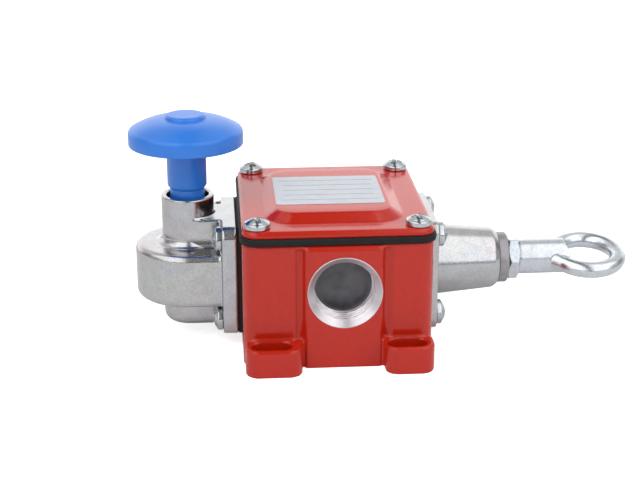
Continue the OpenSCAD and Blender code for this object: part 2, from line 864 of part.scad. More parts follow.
module pull_rod()
    color([0.75, 0.76, 0.78])
        difference() {
            bar_x(reset_x - rod_tail, nut_x, rod_r);
            for (side = [-1, 1])
                translate([reset_x - rod_tail - 1, -rod_r - 1,
                    axis_z + (side > 0 ? tail_h : -tail_h - 2 * rod_r)])
                    cube([tail_x - reset_x + rod_tail + 1, 2 * rod_r + 2, 2 * rod_r]);
            translate([reset_x - travel - spindle_r - 0.1, -spindle_r - 0.1, 0])
                cube([travel + 2 * spindle_r + 0.2, 2 * spindle_r + 0.2, 2 * axis_z]);
            bar_x(nut_x - 13, nut_x + 1, thread_r);
            translate([-cam_end_x - 4.5, 0, axis_z - rod_r - 1])
                cylinder(h = 2 * rod_r + 2, r = 1.5);
            upright(plate_x - clip_t)
                difference() {
                    cylinder(h = clip_t, r = rod_r + 1);
                    translate([0, 0, -1])
                        cylinder(h = clip_t + 2, r = rod_r - 0.6);
                }
        }

module switching_cam()
    color([0.85, 0.82, 0.72])
        difference() {
            translate([0, 0, axis_z - cam_h])
                linear_extrude(2 * cam_h)
                    polygon([
                        [-flank_x - cam_end_x, -7],
                        [cam_end_x + 1, -7],
                        [cam_end_x + 1, cam_y - cam_slope * cam_end_x],
                        [1, cam_y],
                        [-flank_x, cam_y],
                        [-flank_x - cam_end_x, cam_y - cam_slope * cam_end_x]]);
            bar_x(-flank_x - cam_end_x - 1, cam_end_x + 2, rod_r + 0.02);
            translate([-cam_end_x - 4.5, 0, axis_z - cam_h - 1])
                cylinder(h = 2 * cam_h + 2, r = 1.5);
        }

module cam_pin()
    color([0.6, 0.61, 0.63])
        translate([-cam_end_x - 4.5, 0, axis_z - cam_h])
            cylinder(h = 2 * cam_h, r = 1.48);

module spring_plate()
    color([0.75, 0.76, 0.78])
        difference() {
            bar_x(plate_x, plate_x + plate_t, chamber_r - 0.4);
            bar_x(plate_x - 1, plate_x + plate_t + 1, rod_r + 0.02);
        }

module spring_plate_clip()
    color([0.5, 0.51, 0.53])
        difference() {
            bar_x(plate_x - clip_t, plate_x, rod_r + 1.3);
            bar_x(plate_x - clip_t - 1, plate_x + 1, rod_r - 0.58);
            translate([plate_x - clip_t - 1, -2, axis_z])
                cube([clip_t + 2, 4, rod_r + 3]);
        }

module rope_spring()
    color([0.6, 0.61, 0.63])
        upright(plate_x + plate_t)
            coil(rod_r + 0.35 + rope_wire_r, rope_wire_r, seat_x - plate_x - plate_t, 7.5);

module lock_nut()
    color([0.84, 0.88, 0.93])
        difference() {
            upright(nut_x)
                rotate([0, 0, -3.75])
                    cylinder(h = nut_t, r = nut_af / sqrt(3), $fn = 6);
            bar_x(nut_x - 1, nut_x + nut_t + 1, thread_r + 0.02);
        }

// Arm of the eye, from inside the shank to the round bar of the eye.
module eye_arm(side) {
    dx = eye_x + eye_mean_r * cos(140) - shank_x - shank_l;
    dy = eye_mean_r * sin(140);
    translate([shank_x + shank_l, 0, axis_z])
        rotate([eye_turn, 0, 0])
            rotate([0, 0, side * atan2(dy, dx)])
                rotate([0, 90, 0])
                    cylinder(h = norm([dx, dy]), r1 = shank_r - 1.3, r2 = bar_r - 0.08);
}

// Children in the plane of the eye, about its centre.
module in_eye()
    translate([eye_x, 0, axis_z])
        rotate([eye_turn, 0, 0])
            children();

module rope_eye()
    color([0.84, 0.88, 0.93]) {
        bar_x(nut_x - 12, shank_x + 1, thread_r - 0.02);
        difference() {
            union() {
                bar_x(shank_x, eye_x - eye_r + 1, shank_r);
                for (side = [-1, 1])
                    eye_arm(side);
            }
            in_eye()
                cylinder(h = 4 * shank_r, r = eye_r + 0.1, center = true);
        }
        in_eye()
            rotate_extrude()
                translate([eye_mean_r, 0])
                    circle(bar_r, $fn = 32);
    }

// Plunger with a round tip beside the cam, at the height that it has when the rod has lifted it.
module plunger(x, lift)
    translate([x, low_tip_y + lift, axis_z]) {
        sphere(plunger_r);
        rotate([-90, 0, 0])
            cylinder(h = plunger_end - low_tip_y, r = plunger_r);
    }

module slack_plunger()
    color([0.9, 0.9, 0.88])
        plunger(-plunger_x, stroke);

module pull_plunger()
    color([0.9, 0.9, 0.88])
        plunger(plunger_x, 0);

module reset_knob() {
    dome_r = (knob_r * knob_r + knob_dome_h * knob_dome_h) / (2 * knob_dome_h);
    color([0.2, 0.42, 0.82])
        translate([reset_x, 0, 0])
            difference() {
                union() {
                    intersection() {
                        translate([0, 0, knob_z])
                            cylinder(h = knob_rim_h + knob_dome_h, r = knob_r);
                        translate([0, 0, knob_rim_z + knob_dome_h - dome_r])
                            sphere(dome_r, $fn = 128);
                    }
                    translate([0, 0, knob_z])
                        cylinder(h = knob_rim_h + knob_dome_h + 0.4, r = 6.5);
                    translate([0, 0, shoulder_z])
                        cylinder(h = stem_l + 2, r = stem_r);
                    translate([0, 0, shoulder_z - 0.7])
                        cylinder(h = 0.7 + eps, r1 = neck_r, r2 = stem_r);
                    translate([0, 0, neck_z])
                        cylinder(h = shoulder_z - neck_z, r = neck_r);
                }
                translate([0, 0, knob_z - eps])
                    difference() {
                        cylinder(h = 1.8, r1 = knob_r - 1, r2 = stem_r);
                        cylinder(h = 2, r = stem_r);
                    }
                translate([0, 0, neck_z - 1])
                    cylinder(h = knob_z - neck_z - 4, r = spindle_r + 0.02);
                translate([0, 0, stem_oring_z - 0.9])
                    difference() {
                        cylinder(h = 1.8, r = neck_r + 1);
                        translate([0, 0, -1])
                            cylinder(h = 4, r = neck_r - 0.75);
                    }
            }
}

module reset_spindle()
    color([0.75, 0.76, 0.78])
        translate([reset_x, 0, 0])
            difference() {
                translate([0, 0, guide_z + 2.2])
                    cylinder(h = knob_z - 5.5 - guide_z - 2.2, r = spindle_r);
                translate([0, 0, clip_z])
                    difference() {
                        cylinder(h = 0.7, r = spindle_r + 1);
                        translate([0, 0, -1])
                            cylinder(h = 3, r = spindle_r - 0.4);
                    }
            }

module latch_washer()
    color([0.6, 0.61, 0.63])
        translate([reset_x, 0, latch_z])
            difference() {
                cylinder(h = latch_t, r = latch_r);
                translate([0, 0, -1])
                    cylinder(h = latch_t + 2, r = spindle_r + 0.02);
            }

module spindle_clip()
    color([0.5, 0.51, 0.53])
        translate([reset_x, 0, clip_z])
            difference() {
                cylinder(h = latch_z - clip_z, r = spindle_r + 1.3);
                translate([0, 0, -1])
                    cylinder(h = 3, r = spindle_r - 0.38);
                translate([0, -1, -1])
                    cube([spindle_r + 2, 2, 3]);
            }

module reset_spring()
    color([0.6, 0.61, 0.63])
        translate([reset_x, 0, latch_z + latch_t])
            coil(latch_r - 0.4 - reset_wire_r, reset_wire_r, bearing_z - latch_z - latch_t, 5);

module stem_oring()
    color([0.1, 0.1, 0.1])
        translate([reset_x, 0, stem_oring_z])
            rotate_extrude()
                translate([neck_r - 0.73 + stem_oring_r, 0])
                    circle(stem_oring_r, $fn = 32);

housing();
cover();
cover_seal();
cover_screws();
entry_dust_plug();
spring_housing();
spring_housing_oring();
spring_screws();
guide_bush();
rod_seal();
reset_housing();
reset_gasket();
reset_screws();
rear_guide_bush();
stem_guide_bush();
contact_bracket();
bracket_screws();
contact_block_slack();
contact_block_pull();
contact_block_screws();
terminal_clamps();
terminal_screws();
earth_clamp();
earth_screw();
pull_rod();
switching_cam();
cam_pin();
spring_plate();
spring_plate_clip();
rope_spring();
lock_nut();
rope_eye();
slack_plunger();
pull_plunger();
reset_knob();
reset_spindle();
latch_washer();
spindle_clip();
reset_spring();
stem_oring();
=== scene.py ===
"""Looks of the rope pull switch.

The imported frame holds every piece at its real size. This script dresses it: the red castings, the grey
zinc castings, the blue knob, the plated eye, the screws and the seals get finished surfaces and
materials, and a plain studio lights them.
"""
from __future__ import annotations

import logging
import math
from dataclasses import dataclass
from enum import Enum

import bmesh
import bpy
import numpy as np
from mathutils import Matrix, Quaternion, Vector

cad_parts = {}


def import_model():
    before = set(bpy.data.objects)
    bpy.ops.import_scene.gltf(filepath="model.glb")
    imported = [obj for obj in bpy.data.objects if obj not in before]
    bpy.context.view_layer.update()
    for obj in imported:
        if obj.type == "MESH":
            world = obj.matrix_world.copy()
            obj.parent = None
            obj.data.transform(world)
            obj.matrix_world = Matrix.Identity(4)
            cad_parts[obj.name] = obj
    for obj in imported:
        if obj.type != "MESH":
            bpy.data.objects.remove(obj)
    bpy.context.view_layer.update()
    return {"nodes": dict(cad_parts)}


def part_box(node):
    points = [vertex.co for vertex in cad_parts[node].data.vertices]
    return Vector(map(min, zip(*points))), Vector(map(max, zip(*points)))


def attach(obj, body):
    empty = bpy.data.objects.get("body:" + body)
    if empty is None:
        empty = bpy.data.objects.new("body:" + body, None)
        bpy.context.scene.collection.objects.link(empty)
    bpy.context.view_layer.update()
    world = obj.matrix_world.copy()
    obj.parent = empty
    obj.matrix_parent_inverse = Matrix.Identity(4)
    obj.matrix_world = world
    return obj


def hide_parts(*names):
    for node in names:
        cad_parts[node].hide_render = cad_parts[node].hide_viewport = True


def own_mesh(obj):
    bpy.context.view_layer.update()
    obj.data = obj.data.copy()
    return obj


MM = 0.001
LOG = logging.getLogger("rope_pull_switch")
COAT_ROUGH = 0.12
# Radius and height of the dust plug, from the middle of its dished front round to its back.
PLUG_PROFILE = ((0, 0.1), (4.5, 0.12), (7.6, 0.2), (8.5, 0.22), (8.75, 0.15), (8.9, 0.03), (9.0, 0.0),
                (9.45, 0.0), (9.54, 0.1), (9.54, 1.1), (9.4, 1.2), (0, 1.2))
Rgb = tuple[float, float, float]
Piece = bpy.types.Object
Tree = bpy.types.NodeTree
Socket = bpy.types.NodeSocket
Part = tuple[np.ndarray, list[list[int]]]


class Body(str, Enum):
    """Bodies of the frame that pieces ride on."""

    CASE = "switch_body"
    ROD = "rod"
    KNOB = "knob"


class Slot(str, Enum):
    """Material slots of the record."""

    PAINT = "red_paint"
    CAST = "passivated_zinc"
    RUBBER = "black_rubber"
    SCREW = "screw_zinc"
    STEEL = "bright_steel"
    SPRING = "spring_steel"
    BRONZE = "bronze"
    BUSH = "sintered_bush"
    EYE = "blue_zinc"
    PLUG = "grey_plastic"
    BLOCK = "black_plastic"
    ACETAL = "white_plastic"
    KNOB = "blue_plastic"


# ---- surfaces


def grid_faces(rows: int, columns: int) -> np.ndarray:
    """Quads of a grid of rows by columns points, in which each row closes on itself.

    Args:
        rows: Number of rows.
        columns: Number of points in a row.

    Returns:
        One quad per row, as four point numbers.
    """
    i, j = np.meshgrid(np.arange(rows - 1), np.arange(columns), indexing="ij")
    k = (j + 1) % columns
    quads = np.stack([i * columns + j, i * columns + k, (i + 1) * columns + k, (i + 1) * columns + j], -1)
    return quads.reshape(-1, 4)


def make_piece(name: str, points: np.ndarray, faces: list | None = None, sharp_deg: float = 35) -> Piece:
    """Makes a smooth-shaded piece from points in millimetres.

    Doubles are merged, so seams and poles close, and the faces are turned outwards.

    Args:
        name: Name of the piece.
        points: Points, one per row, or a grid of rows that each close on themselves.
        faces: Point numbers of each face, or None for the grid's quads.
        sharp_deg: Angle above which an edge is shaded sharp.

    Returns:
        The new object.
    """
    mesh = bpy.data.meshes.new(name)
    if faces is None:
        faces = grid_faces(*points.shape[:2]).tolist()
    mesh.from_pydata((points.reshape(-1, 3) * MM).tolist(), [], faces)
    work = bmesh.new()
    work.from_mesh(mesh)
    bmesh.ops.remove_doubles(work, verts=work.verts, dist=1e-7)
    bmesh.ops.dissolve_degenerate(work, edges=work.edges, dist=1e-8)
    bmesh.ops.recalc_face_normals(work, faces=work.faces)
    work.to_mesh(mesh)
    work.free()
    return show_mesh(name, mesh, sharp_deg)


def link_object(name: str, data: bpy.types.ID) -> Piece:
    """Makes an object of the data and links it to the scene."""
    made = bpy.data.objects.new(name, data)
    bpy.context.scene.collection.objects.link(made)
    return made


def show_mesh(name: str, mesh: bpy.types.Mesh, sharp_deg: float) -> Piece:
    """Links a mesh as an object, smooth between its sharp edges."""
    mesh.polygons.foreach_set("use_smooth", np.ones(len(mesh.polygons), bool))
    mesh.set_sharp_from_angle(angle=math.radians(sharp_deg))
    return link_object(name, mesh)


def turned(profile: np.ndarray, steps: int = 96, first_deg: float = 0) -> np.ndarray:
    """Points of a profile turned about Z.

    Args:
        profile: Rows of radius and height.
        steps: Points round the axis.
        first_deg: Angle of the first point.

    Returns:
        Grid of points: profile by angle.
    """
    angle = np.linspace(0, 2 * np.pi, steps, endpoint=False) + math.radians(first_deg)
    radius, height = profile[:, :1], profile[:, 1:]
    return np.stack([radius * np.cos(angle), radius * np.sin(angle), height + 0 * angle], -1)


def arc(cx: float, cy: float, r: float, start: float, end: float, steps: int) -> np.ndarray:
    """Points of an arc about (cx, cy), from one angle to another in degrees."""
    angle = np.radians(np.linspace(start, end, steps + 1))
    return np.stack([cx + r * np.cos(angle), cy + r * np.sin(angle)], -1)


def round_rect(half_x: float, half_y: float, r: float, straight: int, bend: int) -> np.ndarray:
    """Outline of a rectangle with round corners, anticlockwise.

    Each corner is an arc of radius r, and each side is divided evenly, so outlines of different sizes
    have matching points.

    Args:
        half_x: Half its length.
        half_y: Half its width.
        r: Radius of its corners.
        straight: Divisions of a side.
        bend: Divisions of a corner.

    Returns:
        Rows of x and y.
    """
    corners = [arc(sx * (half_x - r), sy * (half_y - r), r, a, a + 90, bend)
               for sx, sy, a in ((1, 1, 0), (-1, 1, 90), (-1, -1, 180), (1, -1, 270))]
    share = np.linspace(0, 1, straight + 1)[1:-1, None]
    parts = []
    for here, after in zip(corners, corners[1:] + corners[:1]):
        parts += [here, here[-1] + share * (after[0] - here[-1])]
    return np.concatenate(parts)


def along_x(points: np.ndarray, x: float, z: float) -> np.ndarray:
    """Lays points whose axis is Z along X, from x, with their axis at height z."""
    return np.stack([x + points[..., 2], points[..., 0], z + points[..., 1]], -1)


def along_y(points: np.ndarray, x: float, y: float, z: float) -> np.ndarray:
    """Lays points whose axis is Z along Y, from y, with their axis at x and height z."""
    return np.stack([x + points[..., 0], y + points[..., 2], z + points[..., 1]], -1)


def stacked(rings: list[tuple[np.ndarray, float]], caps: bool = True) -> Part:
    """Skin through flat outlines of equally many points.

    Args:
        rings: Each outline's rows of x and y, and its height.
        caps: Whether flat faces close both ends.

    Returns:
        Its points and faces.
    """
    count = len(rings[0][0])
    points = np.concatenate([np.column_stack([flat, np.full(count, z)]) for flat, z in rings])
    faces = grid_faces(len(rings), count).tolist()
    if caps:
        faces += [list(range(count)), list(range(len(points) - count, len(points)))]
    return points, faces


def gathered(parts: list[Part]) -> Part:
    """Puts the points and faces of several parts into one set."""
    faces, start = [], 0
    for points, own in parts:
        faces += [[start + i for i in face] for face in own]
        start += len(points)
    return np.concatenate([points for points, _ in parts]), faces


def merged_copy(node: str, name: str) -> Piece:
    """Copy of a CAD node with its triangles joined and its flat faces made whole.

    Args:
        node: Name of the node.
        name: Name of the copy.

    Returns:
        The copy, which replaces the node.
    """
    mesh = bpy.data.objects[node].data.copy()
    mesh.materials.clear()
    work = bmesh.new()
    work.from_mesh(mesh)
    bmesh.ops.remove_doubles(work, verts=work.verts, dist=2e-6)
    bmesh.ops.dissolve_limit(work, angle_limit=math.radians(0.5), verts=work.verts, edges=work.edges,
                             use_dissolve_boundaries=False)
    work.to_mesh(mesh)
    work.free()
    piece = show_mesh(name, mesh, 30)
    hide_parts(node)
    return piece


def cast_skin(piece: Piece, voxel: float, rounds: int, keep: float = 1.0) -> Piece:
    """Rounds every edge and corner of the piece, as a casting's are.

    Args:
        piece: A closed piece.
        voxel: Cell size of the new skin in millimetres.
        rounds: Rounds of smoothing.
        keep: Share of the triangles that stay, most of them in the bends.

    Returns:
        The piece.
    """
    remesh = piece.modifiers.new("skin", "REMESH")
    remesh.mode = "VOXEL"
    remesh.voxel_size = voxel * MM
    remesh.use_smooth_shade = True
    smooth = piece.modifiers.new("round_edges", "SMOOTH")
    smooth.factor = 0.5
    smooth.iterations = rounds
    if keep < 1:
        thin = piece.modifiers.new("thin_flats", "DECIMATE")
        thin.ratio = keep
    return piece


# ---- shader groups


class Effect:
    """A shader group with named inputs and outputs, built once and placed in many materials."""

    made: dict[str, Tree] = {}

    def __init__(self, name: str, inputs: dict[str, float | Rgb], *outputs: str) -> None:
        """Starts the group.

        Args:
            name: Name of the group.
            inputs: Each input's name and value.
            outputs: Names of the outputs. The one named Color is a colour, the others are numbers.
        """
        self.tree = Effect.made[name] = bpy.data.node_groups.new(name, "ShaderNodeTree")
        for label, value in inputs.items():
            self.socket(label, "INPUT", isinstance(value, tuple)).default_value = \
                (*value, 1) if isinstance(value, tuple) else value
        for label in outputs:
            self.socket(label, "OUTPUT", label == "Color")
        self.source = self.tree.nodes.new("NodeGroupInput").outputs
        self.sink = self.tree.nodes.new("NodeGroupOutput").inputs

    def socket(self, label: str, way: str, is_color: bool) -> bpy.types.NodeTreeInterfaceSocket:
        """Adds an input or output to the group."""
        kind = "NodeSocketColor" if is_color else "NodeSocketFloat"
        return self.tree.interface.new_socket(label, in_out=way, socket_type=kind)

    def give(self, label: str, value: Socket) -> None:
        """Links a socket to one of the group's outputs."""
        self.tree.links.new(value, self.sink[label])


def set_inputs(tree: Tree, node: bpy.types.Node, **inputs: object) -> None:
    """Gives a node's inputs their values, or links other sockets to them.

    Args:
        tree: The material's or group's tree.
        node: The node.
        inputs: Values or sockets, by input name with _ for a space, or in_N for input number N.
    """
    for key, value in inputs.items():
        socket = node.inputs[int(key[3:]) if key.startswith("in_") else key.replace("_", " ")]
        if isinstance(value, Socket):
            tree.links.new(value, socket)
        else:
            socket.default_value = (*value, 1) if socket.type == "RGBA" else value


def add_node(tree: Tree, kind: str, settings: dict | None = None, **inputs: object) -> bpy.types.Node:
    """Adds a shader node.

    Args:
        tree: The material's or group's tree.
        kind: Node type without its ShaderNode prefix.
        settings: Properties of the node.
        inputs: As in set_inputs.

    Returns:
        The node.
    """
    node = tree.nodes.new(f"ShaderNode{kind}")
    for key, value in (settings or {}).items():
        setattr(node, key, value)
    set_inputs(tree, node, **inputs)
    return node


def add_math(tree: Tree, operation: str, *values: object) -> Socket:
    """Adds a Math node with the given values or sockets and gives its result."""
    inputs = {f"in_{k}": value for k, value in enumerate(values)}
    return add_node(tree, "Math", {"operation": operation}, **inputs).outputs[0]


def noise(tree: Tree, scale: object, detail: float, rough: float = 0.5, place: Rgb = (0, 0, 0)) -> Socket:
    """Noise from 0 to 1 on Object coordinates.

    Args:
        tree: The material's or group's tree.
        scale: Cells in a metre, as a value or socket.
        detail: Octaves.
        rough: Share of each finer octave.
        place: Shift of the pattern.

    Returns:
        The noise.
    """
    coordinates = add_node(tree, "TexCoord").outputs["Object"]
    mapped = add_node(tree, "Mapping", Vector=coordinates, Location=place).outputs[0]
    return add_node(tree, "TexNoise", Vector=mapped, Scale=scale, Detail=detail, Roughness=rough).outputs[0]


def spread(tree: Tree, value: object, low: float, high: float, to_low: object = 0,
           to_high: float = 1) -> Socket:
    """Maps low..high to to_low..to_high smoothly, and holds the ends."""
    return add_node(tree, "MapRange", {"interpolation_type": "SMOOTHSTEP"}, in_0=value, in_1=low, in_2=high,
                    in_3=to_low, in_4=to_high).outputs[0]


def mix_color(tree: Tree, share: object, a: object, b: object, blend: str = "MIX") -> Socket:
    """Mixes two colours by a share and gives the result."""
    return add_node(tree, "Mix", {"data_type": "RGBA", "blend_type": blend}, in_0=share, in_6=a,
                    in_7=b).outputs[2]


def build_edge_effect() -> None:
    """Group edge_mask: 1 on outer edges within Width, broken up by noise of Break scale. It places the
    lighter edges, which are partly wear and partly painted highlight.
    """
    effect = Effect("edge_mask", {"Width": 0.0006, "Break scale": 900.0}, "Mask")
    tree, source = effect.tree, effect.source
    bevel = add_node(tree, "Bevel", {"samples": 4}, Radius=source["Width"]).outputs[0]
    flat = add_node(tree, "NewGeometry").outputs["Normal"]
    same = add_node(tree, "VectorMath", {"operation": "DOT_PRODUCT"}, in_0=bevel, in_1=flat).outputs["Value"]
    sharp = spread(tree, add_math(tree, "SUBTRACT", 1.0, same), 0.01, 0.12)
    broken = spread(tree, noise(tree, source["Break scale"], 3), 0.35, 0.65, 0.25, 1)
    effect.give("Mask", add_math(tree, "MULTIPLY", sharp, broken))


def build_skin_effect() -> None:
    """Group cast_skin: Height of grain and soft waves, Tone of the waves and Speck of the grain."""
    effect = Effect("cast_skin", {"Grain scale": 2500.0, "Wave scale": 180.0, "Wave share": 0.6},
                    "Height", "Tone", "Speck")
    tree, source = effect.tree, effect.source
    grain = noise(tree, source["Grain scale"], 3, 0.65)
    wave = noise(tree, source["Wave scale"], 2, 0.5)
    effect.give("Height", add_node(tree, "Mix", in_0=source["Wave share"], in_2=grain, in_3=wave).outputs[0])
    effect.give("Tone", spread(tree, wave, 0.3, 0.7))
    effect.give("Speck", spread(tree, grain, 0.34, 0.66))


def build_tint_effect() -> None:
    """Group plating_tint: Color drifts over First, Second and Third as a thin film on metal does."""
    effect = Effect("plating_tint", {"First": (0.8, 0.8, 0.8), "Second": (0.8, 0.75, 0.78),
                                     "Third": (0.75, 0.8, 0.85), "Scale": 70.0}, "Color")
    tree, source = effect.tree, effect.source
    one = spread(tree, noise(tree, source["Scale"], 3, 0.6), 0.42, 0.62)
    two = spread(tree, noise(tree, source["Scale"], 3, 0.6, place=(7, 3, 5)), 0.45, 0.68)
    effect.give("Color", mix_color(tree, two, mix_color(tree, one, source["First"], source["Second"]),
                                   source["Third"]))


def place_effect(tree: Tree, name: str, **inputs: object) -> dict[str, Socket]:
    """Places a group in a material with its own values and gives its outputs by name."""
    node = add_node(tree, "Group", {"node_tree": Effect.made[name]}, **inputs)
    return {socket.name: socket for socket in node.outputs}


def new_material(name: str) -> tuple[bpy.types.Material, Tree, bpy.types.Node]:
    """Makes a material and gives it with its tree and its surface node."""
    material = bpy.data.materials.new(name)
    material.use_nodes = True
    return material, material.node_tree, material.node_tree.nodes["Principled BSDF"]


# ---- finishes


@dataclass(frozen=True)
class Finish:
    """A finish of the object: a Principled surface with worked-out colour, gloss and relief."""

    name: str
    slot: Slot
    color: Rgb
    shade: Rgb  # colour that it drifts to
    metallic: float = 0.0  # 1 for metal
    rough: float = 0.4  # roughness where it is smoothest
    rough_span: float = 0.1  # roughness added where the skin is coarsest
    grain: float = 3000.0  # cells of the fine grain in a metre
    wave: float = 400.0  # cells of the soft waves in a metre
    wave_share: float = 0.3  # share of the waves in the relief
    relief: float = 0.00001  # height of the relief in metres
    edge_wear_and_highlight_color: Rgb = (0.8, 0.8, 0.8)  # colour of the lighter edges: partly wear, partly painted highlight along rounded edges
    edge_share: float = 0.0  # how far the edges take that colour
    edge_width: float = 0.0003  # width of the lighter edges (wear and painted highlight) in metres
    coat: float = 0.0  # weight of a clear coat
    specular: float = 0.5  # strength of the plain reflection of a surface that is no metal
    tint: tuple[Rgb, Rgb] | None = None  # two colours that the finish drifts to in thin films
    speck: float = 0.0  # share by which single grains are darker

    def material(self) -> bpy.types.Material:
        """Gives the finish's material, built on first use."""
        return bpy.data.materials.get(self.name) or self.build()

    def tone(self, tree: Tree, skin: dict[str, Socket]) -> Socket:
        """Works out the colour from the skin's waves and grain, the tint, and the lighter edges, which are
        partly wear and partly painted highlight.
        """
        color = mix_color(tree, skin["Tone"], self.color, self.shade)
        if self.tint:
            second, third = self.tint
            film = place_effect(tree, "plating_tint", First=(1, 1, 1), Second=second, Third=third)
            color = mix_color(tree, 1.0, color, film["Color"], "MULTIPLY")
        if self.speck:
            grain = spread(tree, skin["Speck"], 0, 1, 1 - self.speck, 1 + self.speck)
            color = mix_color(tree, 1.0, color, grain, "MULTIPLY")
        # Lighter edges: partly wear, partly a painted highlight where rounded edges catch the light.
        if self.edge_share:
            mask = place_effect(tree, "edge_mask", Width=self.edge_width)["Mask"]
            color = mix_color(tree, add_math(tree, "MULTIPLY", mask, self.edge_share), color, self.edge_wear_and_highlight_color)
        return color

    def build(self) -> bpy.types.Material:
        """Builds the material from the shared groups."""
        material, tree, surface = new_material(self.name)
        skin = place_effect(tree, "cast_skin", Grain_scale=self.grain, Wave_scale=self.wave,
                            Wave_share=self.wave_share)
        rough = spread(tree, skin["Height"], 0.3, 0.7, self.rough, self.rough + self.rough_span)
        bump = add_node(tree, "Bump", Height=skin["Height"], Distance=self.relief, Strength=1.0)
        set_inputs(tree, surface, Base_Color=self.tone(tree, skin), Roughness=rough, Normal=bump.outputs[0],
                   Metallic=self.metallic, Specular_IOR_Level=self.specular, Coat_Weight=self.coat,
                   Coat_Roughness=COAT_ROUGH)
        return material


PAINT = Finish("red_powder_coat", Slot.PAINT, (0.455, 0.0145, 0.004), (0.43, 0.0132, 0.0035), 0.0, 0.12, 0.05,
               grain=1100, wave=620, wave_share=0.6, relief=0.00003, edge_wear_and_highlight_color=(0.52, 0.034, 0.02),
               edge_share=0.3, edge_width=0.0005, specular=0.46)
CAST = Finish("passivated_casting", Slot.CAST, (0.5, 0.505, 0.505), (0.455, 0.46, 0.455), 1.0, 0.13, 0.09,
              grain=2900, wave=320, wave_share=0.2, relief=0.00002, edge_wear_and_highlight_color=(0.66, 0.66, 0.66),
              edge_share=0.35, edge_width=0.0006, tint=((1.0, 0.925, 0.96), (0.95, 0.965, 1.03)), speck=0.12)
MACHINED = Finish("machined_entry", Slot.CAST, (0.6, 0.56, 0.59), (0.54, 0.5, 0.53), 1.0, 0.28, 0.12,
                  grain=2500, relief=0.000008, edge_wear_and_highlight_color=(0.75, 0.74, 0.75), edge_share=0.5)
SCREW = Finish("screw_plating", Slot.SCREW, (0.53, 0.56, 0.58), (0.45, 0.48, 0.5), 1.0, 0.12, 0.08,
               grain=3500, wave=500, wave_share=0.5, edge_wear_and_highlight_color=(0.85, 0.86, 0.87), edge_share=0.5,
               tint=((0.95, 0.97, 1.0), (1.0, 0.98, 0.93)))
EYE = Finish("blue_plating", Slot.EYE, (0.6, 0.625, 0.655), (0.55, 0.585, 0.625), 1.0, 0.18, 0.1,
             grain=1800, wave_share=0.5, relief=0.000014, edge_wear_and_highlight_color=(0.75, 0.8, 0.84), edge_share=0.3,
             edge_width=0.0004, tint=((0.97, 1.0, 1.03), (1.0, 0.985, 1.0)), speck=0.07)
BUSH = Finish("sintered_iron", Slot.BUSH, (0.335, 0.32, 0.34), (0.29, 0.28, 0.295), 0.9, 0.32, 0.12,
              grain=4500, relief=0.00002, edge_wear_and_highlight_color=(0.55, 0.54, 0.55), edge_share=0.4)
BRONZE = Finish("oiled_bronze", Slot.BRONZE, (0.56, 0.4, 0.19), (0.47, 0.32, 0.14), 1.0, 0.32, 0.12,
                grain=4500, wave=500, relief=0.00002, edge_wear_and_highlight_color=(0.75, 0.6, 0.35), edge_share=0.3)
STEEL = Finish("turned_steel", Slot.STEEL, (0.56, 0.57, 0.58), (0.5, 0.51, 0.52), 1.0, 0.2, 0.1,
               edge_share=0.3)
WIRE = Finish("spring_wire", Slot.SPRING, (0.33, 0.33, 0.34), (0.26, 0.26, 0.28), 1.0, 0.28, 0.12, wave=600)
RUBBER = Finish("seal_rubber", Slot.RUBBER, (0.007, 0.0065, 0.007), (0.011, 0.01, 0.0105), 0.0, 0.5, 0.2,
                grain=2600, wave=300, relief=0.000015, specular=0.25)
# The plug's lighter second colour, in large soft blotches, is painted reflection: cloudy highlights painted
# into the plastic.
PLUG = Finish("plug_plastic", Slot.PLUG, (0.05, 0.05, 0.06), (0.115, 0.11, 0.125), 0.0, 0.28, 0.1,
              grain=2500, wave=170, wave_share=0.8, relief=0.00002, coat=0.2)
KNOB = Finish("blue_moulding", Slot.KNOB, (0.017, 0.176, 0.66), (0.015, 0.166, 0.62), 0.0, 0.27, 0.08,
              grain=3200, wave=150, wave_share=0.25, relief=0.000012, edge_wear_and_highlight_color=(0.1, 0.32, 0.8),
              edge_share=0.2, specular=0.6)
BLOCK = Finish("block_moulding", Slot.BLOCK, (0.02, 0.02, 0.022), (0.028, 0.028, 0.03), 0.0, 0.42, 0.12,
               wave=200, relief=0.00002, edge_wear_and_highlight_color=(0.06, 0.06, 0.065), edge_share=0.3)
ACETAL = Finish("acetal", Slot.ACETAL, (0.74, 0.73, 0.69), (0.68, 0.67, 0.63), 0.0, 0.34, 0.08, wave=200)
LABEL = Finish("label_foil", Slot.SCREW, (0.53, 0.56, 0.61), (0.5, 0.53, 0.58), 0.0, 0.35, 0.08,
               wave=300, relief=0.000006)
INK = Finish("label_ink", Slot.BLOCK, (0.05, 0.05, 0.055), (0.06, 0.06, 0.065), 0.0, 0.5, 0.05,
             wave=300, relief=0.000002)


def dress(finish: Finish, *pieces: Piece) -> None:
    """Gives pieces one finish: its material in every slot."""
    for piece in pieces:
        slots = piece.data.materials
        if not len(slots):
            slots.append(None)
        for k in range(len(slots)):
            slots[k] = finish.material()
        LOG.info("%s has the finish %s", piece.name, finish.name)


def settle(piece: Piece, finish: Finish, body: Body = Body.CASE, node: str = "") -> None:
    """Dresses a finished piece, puts it on its body and hides the CAD node that it replaces, if any."""
    if node:
        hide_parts(node)
    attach(piece, body.value)
    dress(finish, piece)


# ---- sub-assemblies


@dataclass
class Box:
    """Box of a CAD node in millimetres."""

    lo: np.ndarray
    hi: np.ndarray

    @classmethod
    def of(cls, node: str) -> "Box":
        """Gives a node's box."""
        lo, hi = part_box(node)
        return cls(np.array(lo) / MM, np.array(hi) / MM)

    @property
    def middle(self) -> np.ndarray:
        """Centre of the box."""
        return (self.lo + self.hi) / 2

    @property
    def size(self) -> np.ndarray:
        """Lengths of its sides."""
        return self.hi - self.lo


